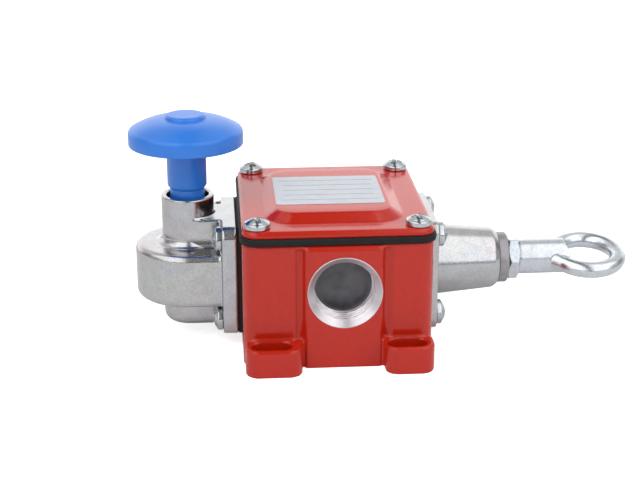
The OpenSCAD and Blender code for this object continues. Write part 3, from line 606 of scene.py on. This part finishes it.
@dataclass
class PanHeads:
    """Four domed pan heads with a cross recess and a slot, on their shanks."""

    node: str
    spins: tuple[float, float, float, float]  # turn of each head's recess in degrees
    radius: float
    height: float
    outward: Rgb  # axis and sense in which the heads point
    depth: float = 1.5  # of the cross
    arm: float = 0.58  # half length of the cross's arms as a share of the radius
    wing: float = 0.66  # half width of the cross's arms
    slit: float = 0.5  # half width of the slot
    taper: float = 0.45  # share by which the arms narrow from the top to the bottom
    edge: float = 0.55  # radius of the head's edge
    shank_r: float = 2.0
    shank_l: float = 4.0
    dome_share: float = 0.55  # share of the head's height that its dome falls
    wider: float = 1.0  # radius of the finished head over the solid's
    taller: float = 1.0  # height of the finished head over the solid's

    def recess(self, radius: float, height: float) -> Piece:
        """Makes the solid that the recess leaves empty: two arms that narrow inwards, and a slot.

        Args:
            radius: Radius of the head.
            height: Height of the head.

        Returns:
            The solid, with the head on z = 0.
        """
        faces = [[0, 1, 2, 3], [4, 5, 6, 7], [0, 1, 5, 4], [1, 2, 6, 5], [2, 3, 7, 6], [3, 0, 4, 7]]
        over, span, slot_depth = 0.6, self.arm * radius, 0.45 * self.depth
        low, high = 1 - self.taper, 1 + self.taper * over / self.depth
        arms = ((self.depth, span * low, self.wing * low, span * high, self.wing * high),
                (self.depth, self.wing * low, span * low, self.wing * high, span * high),
                (slot_depth, 2 * radius, self.slit * 0.9, 2 * radius, self.slit))
        parts = []
        for deep, x0, y0, x1, y1 in arms:
            ends = (x0, y0, height - deep), (x1, y1, height + over)
            parts.append((np.array([[sx * x, sy * y, z] for x, y, z in ends
                                    for sx, sy in ((1, 1), (-1, 1), (-1, -1), (1, -1))]), faces))
        return make_piece("recess", *gathered(parts))

    def head(self) -> Part:
        """Points and faces of one screw, with its head on z = 0.

        The skin runs from the middle of the head over its dome, whose height falls with the square of
        the radius, round its edge and down its side to the shank's end. Then the recess is cut out.
        """
        radius, height, steps, ease = self.radius * self.wider, self.height * self.taller, 80, 0.3
        dome = self.dome_share * height
        reach = radius - self.edge
        rho = np.linspace(0, reach, 20)
        top = np.stack([rho, height - dome * (rho / radius) ** 2], -1)
        crown = height - dome * (reach / radius) ** 2
        side = arc(reach, crown - self.edge, self.edge, 66, 0, 7)
        foot = np.array([[radius, ease], [radius - ease, 0.0], [self.shank_r, 0.0],
                         [self.shank_r, -self.shank_l], [0.0, -self.shank_l]])
        grid = turned(np.concatenate([top, side, foot]), steps)
        blank, recess = make_piece("blank", grid), self.recess(radius, height)
        cut = blank.modifiers.new("recess", "BOOLEAN")
        cut.operation, cut.solver, cut.object, cut.use_self = "DIFFERENCE", "EXACT", recess, True
        solid = blank.evaluated_get(bpy.context.evaluated_depsgraph_get())
        mesh = bpy.data.meshes.new_from_object(solid)
        points = np.array([vertex.co for vertex in mesh.vertices]) / MM
        faces = [list(face.vertices) for face in mesh.polygons]
        for piece in (blank, recess):
            bpy.data.objects.remove(piece)
        return points, faces

    def build(self) -> None:
        """Builds the four screws at the corners of the node's box."""
        points, faces = self.head()
        box, out = Box.of(self.node), np.array(self.outward)
        axis = int(np.argmax(np.abs(out)))
        others = [k for k in range(3) if k != axis]
        turn = np.array(Vector((0, 0, 1)).rotation_difference(Vector(self.outward)).to_matrix())
        place = np.zeros(3)
        place[axis] = (box.hi if out[axis] > 0 else box.lo)[axis] - out[axis] * self.height
        parts = []
        for k, spin in enumerate(self.spins):
            a = math.radians(spin)
            flat = np.array([[math.cos(a), -math.sin(a), 0], [math.sin(a), math.cos(a), 0], [0, 0, 1]])
            for other, end in zip(others, (k % 2, k // 2)):
                place[other] = box.middle[other] + (2 * end - 1) * (box.size[other] / 2 - self.radius)
            parts.append((points @ (turn @ flat).T + place, faces))
        settle(make_piece(f"{self.node}_heads", *gathered(parts), 40), SCREW, node=self.node)


@dataclass
class MainHousing:
    """Painted housing with its cover, seal, cover screws, bare label plate and cable entry."""

    voxel: float = 0.42  # cell of the casting's skin
    seat_r: float = 10.95  # radius to which the casting's bore is widened for the machined piece
    cut_r: float = 11.5  # radius of the solid's chamfer
    bore_r: float = 9.19  # radius of the thread's crest
    thread_pitch: float = 1.5
    thread_depth: float = 0.75
    thread_cells: int = 144  # points round the thread
    lip_h: float = 0.4  # height of the lip in front of the plug
    ring_r: float = 11.05  # of the chamfer's outer edge
    ring_depth: float = 1.45  # of the chamfer
    plug_depth: float = 8.3  # distance of the plug from the entry's face
    corner_r: float = 4.6  # radius of the cover's corners
    rim_round: float = 1.25  # radius of the cover's upper edge
    head_h: float = 3.1  # height of a cover screw's head
    field: tuple[float, float] = (42.9, 53.2)  # length and width of the raised field at its foot
    field_x: float = -0.4  # its shift
    slope: float = 4.7  # run of its slope
    cells: tuple[int, int] = (14, 12)  # divisions of an outline's sides and corners
    seal_w: float = 5.6
    seal_r: float = 5.3  # of its corners
    bulge: float = 0.25  # how far its outer edge bulges
    label_size: tuple[float, float] = (33.4, 28.2)
    label_at: tuple[float, float] = (-1.0, -0.7)  # its middle
    line_end: float = 4.4  # distance of the outer lines from the plate's long edges

    def build(self) -> None:
        """Builds and dresses every piece of the housing."""
        body = merged_copy("housing", "housing_body")
        self.open_bore(body)
        settle(cast_skin(body, self.voxel, 5, 0.45), PAINT)
        self.cover()
        self.seal()
        self.label()
        self.entry()
        PanHeads("cover_screws", (105, 100, 118, 62), 3.9, self.head_h, (0, 0, 1), depth=1.8,
                 arm=0.74).build()

    def open_bore(self, body: Piece) -> None:
        """Widens the bore and its chamfer in the copy to one seat, for the machined piece that fills it."""
        box, near = Box.of("entry_dust_plug"), 0.1
        axis = box.middle
        points = np.empty(len(body.data.vertices) * 3)
        body.data.vertices.foreach_get("co", points)
        points = points.reshape(-1, 3) / MM
        away = points[:, [0, 2]] - axis[[0, 2]]
        r = np.hypot(away[:, 0], away[:, 1])
        in_bore = (r > self.bore_r - near) & (r < self.cut_r + near) & (points[:, 1] < box.lo[1] + near)
        points[:, [0, 2]] = axis[[0, 2]] + away * np.where(in_bore, self.seat_r / r, 1.0)[:, None]
        body.data.vertices.foreach_set("co", (points * MM).ravel())

    def cover(self) -> None:
        """Builds the cover: nested outlines from its lower edge, over the rim's round and up the field.

        Each outline is a rectangle with round corners. Its height follows the rim's round and then a
        smooth step, whose slope is steepest in its middle, up to the raised field.
        """
        box = Box.of("cover")
        half_x, half_y = box.size[0] / 2, box.size[1] / 2
        low, high, soft = box.lo[2], box.hi[2], self.rim_round
        rim = Box.of("cover_screws").hi[2] - self.head_h
        rings: list[tuple[np.ndarray, float]] = []

        def ring(hx: float, hy: float, r: float, z: float, x: float = 0.0) -> None:
            """Adds an outline at a height, centred on x."""
            rings.append((round_rect(hx, hy, max(r, 0.05), *self.cells) + (x, 0), z))

        ring(half_x - self.seal_w + 0.1, half_y - self.seal_w + 0.1, 2, low)
        ring(half_x - 0.2, half_y - 0.2, self.corner_r - 0.2, low)
        ring(half_x, half_y, self.corner_r, low + 0.2)
        for x, z in arc(half_x - soft, rim - soft, soft, 0, 90, 7):
            inset = half_x - x
            ring(half_x - inset, half_y - inset, self.corner_r - inset, z)
        foot_x, foot_y, foot_r, top_r = self.field[0] / 2, self.field[1] / 2, 9.0, 5.0
        for share in (0.35, 0.7):
            ring(half_x - soft + share * (foot_x - half_x + soft),
                 half_y - soft + share * (foot_y - half_y + soft),
                 self.corner_r - soft + share * 6.4, rim, share * self.field_x)
        for t in np.linspace(0, 1, 15):
            ring(foot_x - self.slope * t, foot_y - self.slope * t, foot_r + (top_r - foot_r) * t,
                 rim + (high - rim) * self.step(t), self.field_x)
        for share in (0.85, 0.6, 0.3, 0.02):
            ring((foot_x - self.slope) * share, (foot_y - self.slope) * share, top_r * share, high,
                 self.field_x)
        settle(make_piece("cover_shell", *stacked(rings), 60), PAINT, node="cover")

    @staticmethod
    def step(t: float, bend: float = 0.16) -> float:
        """Rise of the field's slope, from 0 to 1: straight in its middle and rounded at both ends.

        Args:
            t: Share of the slope's run.
            bend: Share of the run that each rounding takes.

        Returns:
            The share of the height.
        """
        if t < bend:
            return t * t / (2 * bend * (1 - bend))
        if t > 1 - bend:
            return 1 - (1 - t) ** 2 / (2 * bend * (1 - bend))
        return (t - bend / 2) / (1 - bend)

    def seal(self) -> None:
        """Builds the cover seal: an outline carried round a profile with a bulging outer edge."""
        box, bulge, bend = Box.of("cover_seal"), self.bulge, 3.2
        half_x, half_y = box.size[0] / 2, box.size[1] / 2
        low, high = box.lo[2], box.hi[2]
        mid, half = (low + high) / 2, (high - low) / 2
        outer = [(bulge + bulge * (1 - math.cos(a)), mid + half * math.sin(a))
                 for a in np.linspace(-math.pi / 2, math.pi / 2, 9)]
        rings = [(round_rect(half_x - inset + bulge, half_y - inset + bulge, self.seal_r - min(inset, bend),
                             *self.cells), z)
                 for inset, z in [(self.seal_w, low), *outer, (self.seal_w, high)]]
        piece = make_piece("cover_gasket", *stacked([*rings, rings[0]], caps=False), 50)
        settle(piece, RUBBER, node="cover_seal")

    def label(self) -> None:
        """Builds the bare label plate and the plain ruled lines on it."""
        top = Box.of("cover").hi[2]
        half_x, half_y = self.label_size[0] / 2, self.label_size[1] / 2

        def sheet(hx: float, hy: float, r: float, y: float, low: float, high: float) -> Part:
            """Flat plate with round corners between two heights over the cover."""
            flat = round_rect(hx, hy, r, 2, 6) + self.label_at + (0, y)
            return stacked([(flat, top + low), (flat, top + high)])

        settle(make_piece("label_plate", *sheet(half_x, half_y, 1.2, 0, -0.05, 0.1), 30), LABEL)
        lines = [sheet(half_x - (2.6 if k % 4 else 1.8), 0.1, 0.09, y, 0.08, 0.112)
                 for k, y in enumerate(np.linspace(self.line_end - half_y, half_y - self.line_end, 5))]
        settle(make_piece("label_rules", *gathered(lines), 30), INK)

    def entry(self) -> None:
        """Builds the machined entry: its chamfer, the cut thread and the lip, and the plug behind it.

        The thread's radius swings between its crest and its root as a rounded saw of the distance
        along the axis, which runs on by one pitch for each turn. It fades out at both ends.
        """
        plug, steps = Box.of("entry_dust_plug"), self.thread_cells
        (x, _, z), front = plug.middle, plug.lo[1] - self.plug_depth
        angle = np.linspace(0, 2 * np.pi, steps, endpoint=False)
        depth = np.linspace(self.ring_depth - 0.05, self.plug_depth - 0.02, 90)[:, None]
        phase = (depth / self.thread_pitch + angle / (2 * np.pi)) % 1.0
        saw = np.clip(1.25 - np.abs(phase - 0.5) * 3.4, 0, 1)
        fade = np.clip((depth - self.ring_depth) / 0.3 + 0.8, 0, 1)
        fade = fade * np.clip((self.plug_depth - depth) / 0.5, 0, 1)
        lip = np.clip((depth - self.plug_depth + 0.9) / 0.15, 0, 1)
        radius = self.bore_r + self.thread_depth * (1 - fade * saw) * (1 - lip) - self.lip_h * lip
        bore = np.stack([radius * np.cos(angle), radius * np.sin(angle), depth + 0 * angle], -1)
        share, outer = np.linspace(0, 1, 8)[:, None], self.ring_r + 0.24
        cone = (1 - share) * [self.ring_r - 0.05, 0.06] + share * [self.bore_r + 0.1, self.ring_depth - 0.06]
        lips = np.concatenate([arc(self.ring_r + 0.02, 0.16, 0.22, 0, -140, 6), cone])
        back = np.array([[self.bore_r + 1.1, self.plug_depth], [outer, self.plug_depth], [outer, 0.12],
                         lips[0]])
        grid = np.concatenate([turned(lips, steps), bore, turned(back, steps)])
        settle(make_piece("entry_thread", along_y(grid, x, front, z), sharp_deg=30), MACHINED)
        dish = along_y(turned(np.array(PLUG_PROFILE)), x, plug.lo[1], z)
        settle(make_piece("dust_plug", dish, sharp_deg=30), PLUG, node="entry_dust_plug")


@dataclass
class RopeSide:
    """Conical spring housing with its screws, guide bush, lock nut and eye bolt."""

    nut_turn: float = -3.75  # turn of the nut in degrees
    nut_flats: float = 12.7  # width of the nut over its flats
    nut_cut: float = 0.12  # how far the nut's corners are cut off
    nut_bore: float = 4.02  # radius of the nut's bore
    chamfer_deg: float = 58.0  # angle of the nut's end cones
    spigot_r: float = 6.8  # radius of the bush inside the housing
    collar_at: float = 5.2  # distance at which the bush's collar starts
    collar_round: float = 0.75  # radius of the collar's edge
    gap: float = 0.06  # play between the bush and the rod

    def build(self) -> None:
        """Builds and dresses every piece on the rope's side."""
        settle(cast_skin(merged_copy("spring_housing", "cone_casting"), 0.34, 3, 0.6), CAST)
        PanHeads("spring_screws", (20, 65, 40, 5), 3.6, 2.8, (1, 0, 0), wider=1.07, taller=1.15).build()
        self.bush()
        self.nut()
        settle(cast_skin(merged_copy("rope_eye", "eye_bolt"), 0.24, 8), EYE, Body.ROD)

    def bush(self) -> None:
        """Builds the guide bush: its profile turned about the rod's axis."""
        box, rod, r = Box.of("guide_bush"), Box.of("pull_rod"), self.collar_round
        outer, bore = box.size[1] / 2, rod.size[1] / 2 + self.gap
        end, start = box.size[0], self.collar_at
        profile = np.array([[bore, 0], [self.spigot_r, 0], [self.spigot_r, start], [outer - 0.15, start],
                            [outer, start + 0.15], *arc(outer - r, end - r, r, 0, 90, 6), [bore + 0.5, end],
                            [bore, end - 0.5], [bore, 0]])
        grid = along_x(turned(profile), box.lo[0], box.middle[2])
        settle(make_piece("bush_collar", grid, sharp_deg=40), BUSH, node="guide_bush")

    def nut(self) -> None:
        """Builds the lock nut: at each angle the radius is the smaller of the hexagon and the chamfer cone.

        The hexagon's radius is the apothem over the cosine of the angle from the nearest flat.
        """
        box = Box.of("lock_nut")
        length, apothem, steps, bore = box.size[0], self.nut_flats / 2, 288, self.nut_bore
        angle = np.linspace(0, 2 * np.pi, steps, endpoint=False)
        hexagon = apothem / np.cos((angle % (np.pi / 3)) - np.pi / 6)
        hexagon = np.minimum(hexagon, apothem / math.cos(math.pi / 6) - self.nut_cut)
        depth = np.concatenate([np.linspace(0, 0.9, 10), np.linspace(length - 0.9, length, 10)])
        from_end = np.minimum(depth, length - depth)[:, None]
        radius = np.minimum(hexagon, apothem - 0.15 + from_end * math.tan(math.radians(self.chamfer_deg)))
        turn = angle + math.radians(self.nut_turn)
        skin = np.stack([radius * np.cos(turn), radius * np.sin(turn), depth[:, None] + 0 * angle], -1)
        mouth = bore + 0.48
        inner = turned(np.array([[mouth, 0.0], [bore, 0.5], [bore, length - 0.5], [mouth, length]]), steps,
                       self.nut_turn)
        grid = np.concatenate([skin[::-1], inner, skin[-1:]])
        grid = along_x(grid, box.lo[0], Box.of("pull_rod").middle[2])
        settle(make_piece("nut_hexagon", grid, sharp_deg=28), EYE, Body.ROD, "lock_nut")


@dataclass
class ResetSide:
    """Reset casting with its gasket and screws, and the knob."""

    collar_r: float = 8.2  # radius of the casting's collar
    collar_h: float = 15.3  # height of the collar
    fillet_r: float = 2.4  # radius of the hollow round at its foot
    disc_r: float = 6.5  # radius of the disc on the knob
    disc_h: float = 0.9  # height of the disc over the dome
    disc_rise: float = 0.4  # height of the disc over the solid's top
    dome_power: float = 3.0  # power of the radius with which the dome falls
    knob_round: float = 1.3  # radius of the rim's upper edge
    rim_h: float = 5.0  # height from the top to the rim
    cap_h: float = 9.25  # height of the mushroom
    stem_r: float = 6.1  # radius of the stem
    shoulder_h: float = 22.2  # height from the solid's top to the stem's shoulder
    neck_r: float = 5.35  # radius of the neck below it
    bore_r: float = 2.12  # radius of the hole for the spindle
    bore_h: float = 4.0  # distance of the hole's end below the mushroom's underside

    def build(self) -> None:
        """Builds and dresses every piece on the reset side."""
        settle(cast_skin(merged_copy("reset_housing", "reset_casting"), 0.38, 4, 0.5), CAST)
        self.fillet()
        PanHeads("reset_screws", (35, 80, 15, 50), 3.6, 2.8, (-1, 0, 0), wider=1.07, taller=1.15).build()
        self.knob()

    def fillet(self) -> None:
        """Builds the hollow round at the collar's foot: a quarter circle turned about the knob's axis."""
        foot, r, sunk = Box.of("reset_housing").hi[2] - self.collar_h, self.fillet_r, 0.6
        hollow = arc(self.collar_r + r, foot + r, r, 180, 270, 12)
        profile = np.concatenate([hollow, [[self.collar_r - sunk, foot - sunk]], hollow[:1] - [sunk, 0],
                                  hollow[:1]])
        settle(self.about_knob("collar_fillet", profile, 120, 40), CAST)

    @staticmethod
    def about_knob(name: str, profile: np.ndarray, steps: int, sharp_deg: float) -> Piece:
        """Makes a piece from a profile turned about the knob's axis."""
        points = turned(profile, steps) + Box.of("reset_knob").middle * (1, 1, 0)
        return make_piece(name, points, sharp_deg=sharp_deg)

    def knob(self) -> None:
        """Builds the knob: a mushroom profile turned about its axis.

        The dome falls from its crown with a power of the radius. Its rim, disc and shoulders are rounded.
        """
        box = Box.of("reset_knob")
        r, top = box.size[0] / 2 + 0.05, box.hi[2] + self.disc_rise
        crown = top - self.disc_h
        under, rim = top - self.cap_h, top - self.rim_h
        shoulder, neck = box.hi[2] - self.shoulder_h, box.lo[2]

        def dome(rho: np.ndarray) -> np.ndarray:
            """Height of the dome at a radius, flatter in the middle than an arc is."""
            return crown - (crown - rim) * (rho / r) ** self.dome_power

        rho = np.linspace(self.disc_r + 0.25, r - self.knob_round, 24)
        last = float(dome(rho[-1:])[0])
        bend = np.linspace(0, 1, 9)[1:, None]
        shoulder_curve = (1 - bend) ** 2 * [rho[-1], last] + 2 * bend * (1 - bend) * [r, last - 0.4] \
            + bend**2 * [r, last - 1.7]
        foot = float(dome(np.array([self.disc_r]))[0])
        turn = np.linspace(0, np.pi / 2, 7)[:, None]
        disc_edge = np.hstack([self.disc_r - 1.3 + 1.2 * np.sin(turn),
                               top - (top - foot - 0.12) * (1 - np.cos(turn))])
        stem, thin, hole, end = self.stem_r, self.neck_r, self.bore_r, under - self.bore_h
        profile = np.concatenate([
            [[0, top], [self.disc_r - 2.2, top]], disc_edge, [[self.disc_r + 0.02, foot + 0.02]],
            np.column_stack([rho, dome(rho)]), shoulder_curve,
            arc(r - 0.25, under + 0.25, 0.25, 0, -90, 4),
            [[r - 1.2, under], [stem + 1.2, under + 2.2], [stem + 0.3, under + 2.0], [stem, under + 1.6],
             [stem, shoulder + 0.35], [stem - 0.12, shoulder + 0.1], [thin, shoulder - 0.7], [thin, neck],
             [hole, neck], [hole, end], [0, end]]])
        settle(self.about_knob("knob_mushroom", profile, 160, 38), KNOB, Body.KNOB, "reset_knob")


@dataclass
class CoilSpring:
    """A coil spring, copied from its CAD node and dressed as spring wire."""

    node: str  # its CAD node
    joint: str  # name of the joint
    axis: int  # number of the axis that it shortens along, with its fixed end the higher
    stroke: float  # length that it loses at the joint's limit

    def build(self) -> None:
        """Builds the coil from its CAD node and dresses it."""
        box = Box.of(self.node)
        coil = merged_copy(self.node, f"{self.node}_coil")
        settle(coil, WIRE)
        along, anchor = np.eye(3)[self.axis], box.middle.copy()
        anchor[self.axis] = box.hi[self.axis]
        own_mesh(coil)


class Inside(Enum):
    """Inner pieces that keep their CAD solids, by finish."""

    RUBBER = (RUBBER, "reset_gasket", "spring_housing_oring", "rod_seal", "stem_oring")
    STEEL = (STEEL, "pull_rod", "spring_plate", "contact_bracket", "reset_spindle", "cam_pin")
    SCREW = (SCREW, "bracket_screws", "contact_block_screws", "terminal_screws", "earth_screw")
    WIRE = (WIRE, "spring_plate_clip", "spindle_clip", "latch_washer")
    BRONZE = (BRONZE, "rear_guide_bush", "stem_guide_bush", "terminal_clamps", "earth_clamp")
    BLOCK = (BLOCK, "contact_block_slack", "contact_block_pull")
    ACETAL = (ACETAL, "slack_plunger", "pull_plunger", "switching_cam")

    def dress(self, nodes: dict[str, Piece]) -> None:
        """Dresses the group's nodes."""
        finish, *names = self.value
        dress(finish, *(nodes[name] for name in names))


# ---- studio


@dataclass
class Studio:
    """Plain pale floor, soft lights, the world and the camera."""

    camera_at: Rgb = (-35.59, -420.41, 180.10)  # in millimetres
    sight: Rgb = (0.07224, 0.93838, -0.33796)  # direction of its view
    roll: float = 0.106  # its roll in degrees
    lens: float = 79.26  # focal length
    sensor: float = 36.0
    lamp_aim: Rgb = (0, 0, 20)  # point that the lamps face
    floor_tone: float = 0.85
    floor_glow: float = 0.72  # light that the floor gives off to the camera alone
    ambient: float = 0.6  # level of the even light from all round
    gap_tone: float = 0.15  # tone of the tent's dark foot, above the floor's far edge
    # Each change of the tent's tone from the front over the top: its first and last angle, the tone after it.
    bands: tuple[Rgb, ...] = ((0.04, 0.12, 1.8), (1.7, 1.9, 0.85), (2.4, 2.75, 1.5))
    sides: Rgb = (0.72, 0.92, 0.35)  # where the tone falls off to both sides, and the share that is left
    left_half: tuple[float, float] = (-0.2, -0.05)  # where the left half of the front ends
    right_half: tuple[float, float] = (0.08, 0.19)  # where its right half starts
    middle_share: float = 0.08  # share of the tone that is left between the halves
    middle_end: tuple[float, float] = (2.1, 2.5)  # angles between which that gap closes behind the part

    def build(self) -> None:
        """Builds the whole studio."""
        bpy.context.scene.view_settings.view_transform = "Standard"
        self.camera()
        self.floor()
        self.world()
        self.lamp("key", (-260, -330, 620), 420, 2.2)
        self.lamp("fill", (420, -260, 330), 300, 0.8)

    def camera(self) -> None:
        """Places the camera."""
        data = bpy.data.cameras.new("camera")
        data.lens, data.sensor_width = self.lens, self.sensor
        data.clip_start, data.clip_end = 0.01, 10
        camera = link_object("camera", data)
        bpy.context.scene.camera = camera
        self.aim(camera, self.camera_at, Vector(self.sight), self.roll)

    @staticmethod
    def aim(thing: Piece, place: Rgb, sight: Vector, roll: float = 0) -> None:
        """Puts a camera or lamp at a place in millimetres, looking along a direction."""
        thing.location = Vector(place) * MM
        thing.rotation_mode = "QUATERNION"
        thing.rotation_quaternion = sight.to_track_quat("-Z", "Y") @ Quaternion((0, 0, 1), math.radians(roll))

    def floor(self) -> None:
        """Makes the floor: pale, lit mostly by its own tone to the camera, so that its shadow stays soft."""
        half, low = 900.0, float(Box.of("housing").lo[2])
        corners = np.array([[-half, -half, low], [half, -half, low], [half, half, low], [-half, half, low]])
        floor = make_piece("floor", corners, [[0, 1, 2, 3]])
        material, tree, surface = new_material("floor_paper")
        seen = add_node(tree, "LightPath").outputs["Is Camera Ray"]
        set_inputs(tree, surface, Base_Color=(self.floor_tone,) * 3, Roughness=0.8, Emission_Color=(1, 1, 1),
                   Emission_Strength=add_math(tree, "MULTIPLY", seen, self.floor_glow))
        floor.data.materials.append(material)

    def lamp(self, name: str, place: Rgb, size: float, power: float) -> None:
        """Adds a square area lamp with sides of a size in millimetres."""
        data = bpy.data.lights.new(name, "AREA")
        data.size, data.energy = size * MM, power
        lamp = link_object(name, data)
        lamp.visible_glossy = False
        self.aim(lamp, place, Vector(self.lamp_aim) - Vector(place))

    def world(self) -> None:
        """Makes the world: white to the camera, and a soft tent for light and gloss.

        The tent's tone follows the angle about X, from 0 in front over the top to a half turn behind the
        part, with a dark strip at the front's foot, a dark gap in the middle of the front and darker sides.
        """
        world = bpy.data.worlds.new("studio")
        bpy.context.scene.world = world
        world.use_nodes = True
        tree = world.node_tree
        sight = add_node(tree, "TexCoord").outputs["Generated"]
        x, y, z = add_node(tree, "SeparateXYZ", Vector=sight).outputs
        up, near = add_math(tree, "MAXIMUM", z, 0.0), add_math(tree, "MULTIPLY", y, -1.0)
        turn = add_math(tree, "ARCTAN2", up, near)
        tone: object = self.gap_tone
        for start, end, after in self.bands:
            tone = spread(tree, turn, start, end, tone, after)
        start, end, share = self.sides
        side = spread(tree, add_math(tree, "ABSOLUTE", x), start, end, 1.0, share)
        left = spread(tree, x, *self.left_half, 1.0, self.middle_share)
        right = spread(tree, x, *self.right_half, self.middle_share, 1.0)
        middle = spread(tree, turn, *self.middle_end, add_math(tree, "MAXIMUM", left, right), 1.0)
        tent = add_math(tree, "MULTIPLY", add_math(tree, "MULTIPLY", tone, side), middle)
        path = add_node(tree, "LightPath").outputs
        gap = add_math(tree, "SUBTRACT", self.ambient, tent)
        soft = add_math(tree, "MULTIPLY_ADD", path["Is Diffuse Ray"], gap, tent)
        seen = mix_color(tree, path["Is Camera Ray"], soft, (1.0, 1.0, 1.0))
        tree.links.new(seen, tree.nodes["Background"].inputs["Color"])


def main() -> None:
    """Loads the frame, builds and dresses every piece and lights them."""
    logging.basicConfig(level=logging.INFO, format="%(name)s: %(message)s")
    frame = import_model()
    Studio().build()
    build_edge_effect()
    build_skin_effect()
    build_tint_effect()
    for group in Inside:
        group.dress(frame["nodes"])
    springs = CoilSpring("rope_spring", "rope_pull", 0, 8.0), CoilSpring("reset_spring", "reset_pull", 2, 4.0)
    for assembly in (MainHousing(), RopeSide(), ResetSide(), *springs):
        assembly.build()


if __name__ == "__main__":
    main()
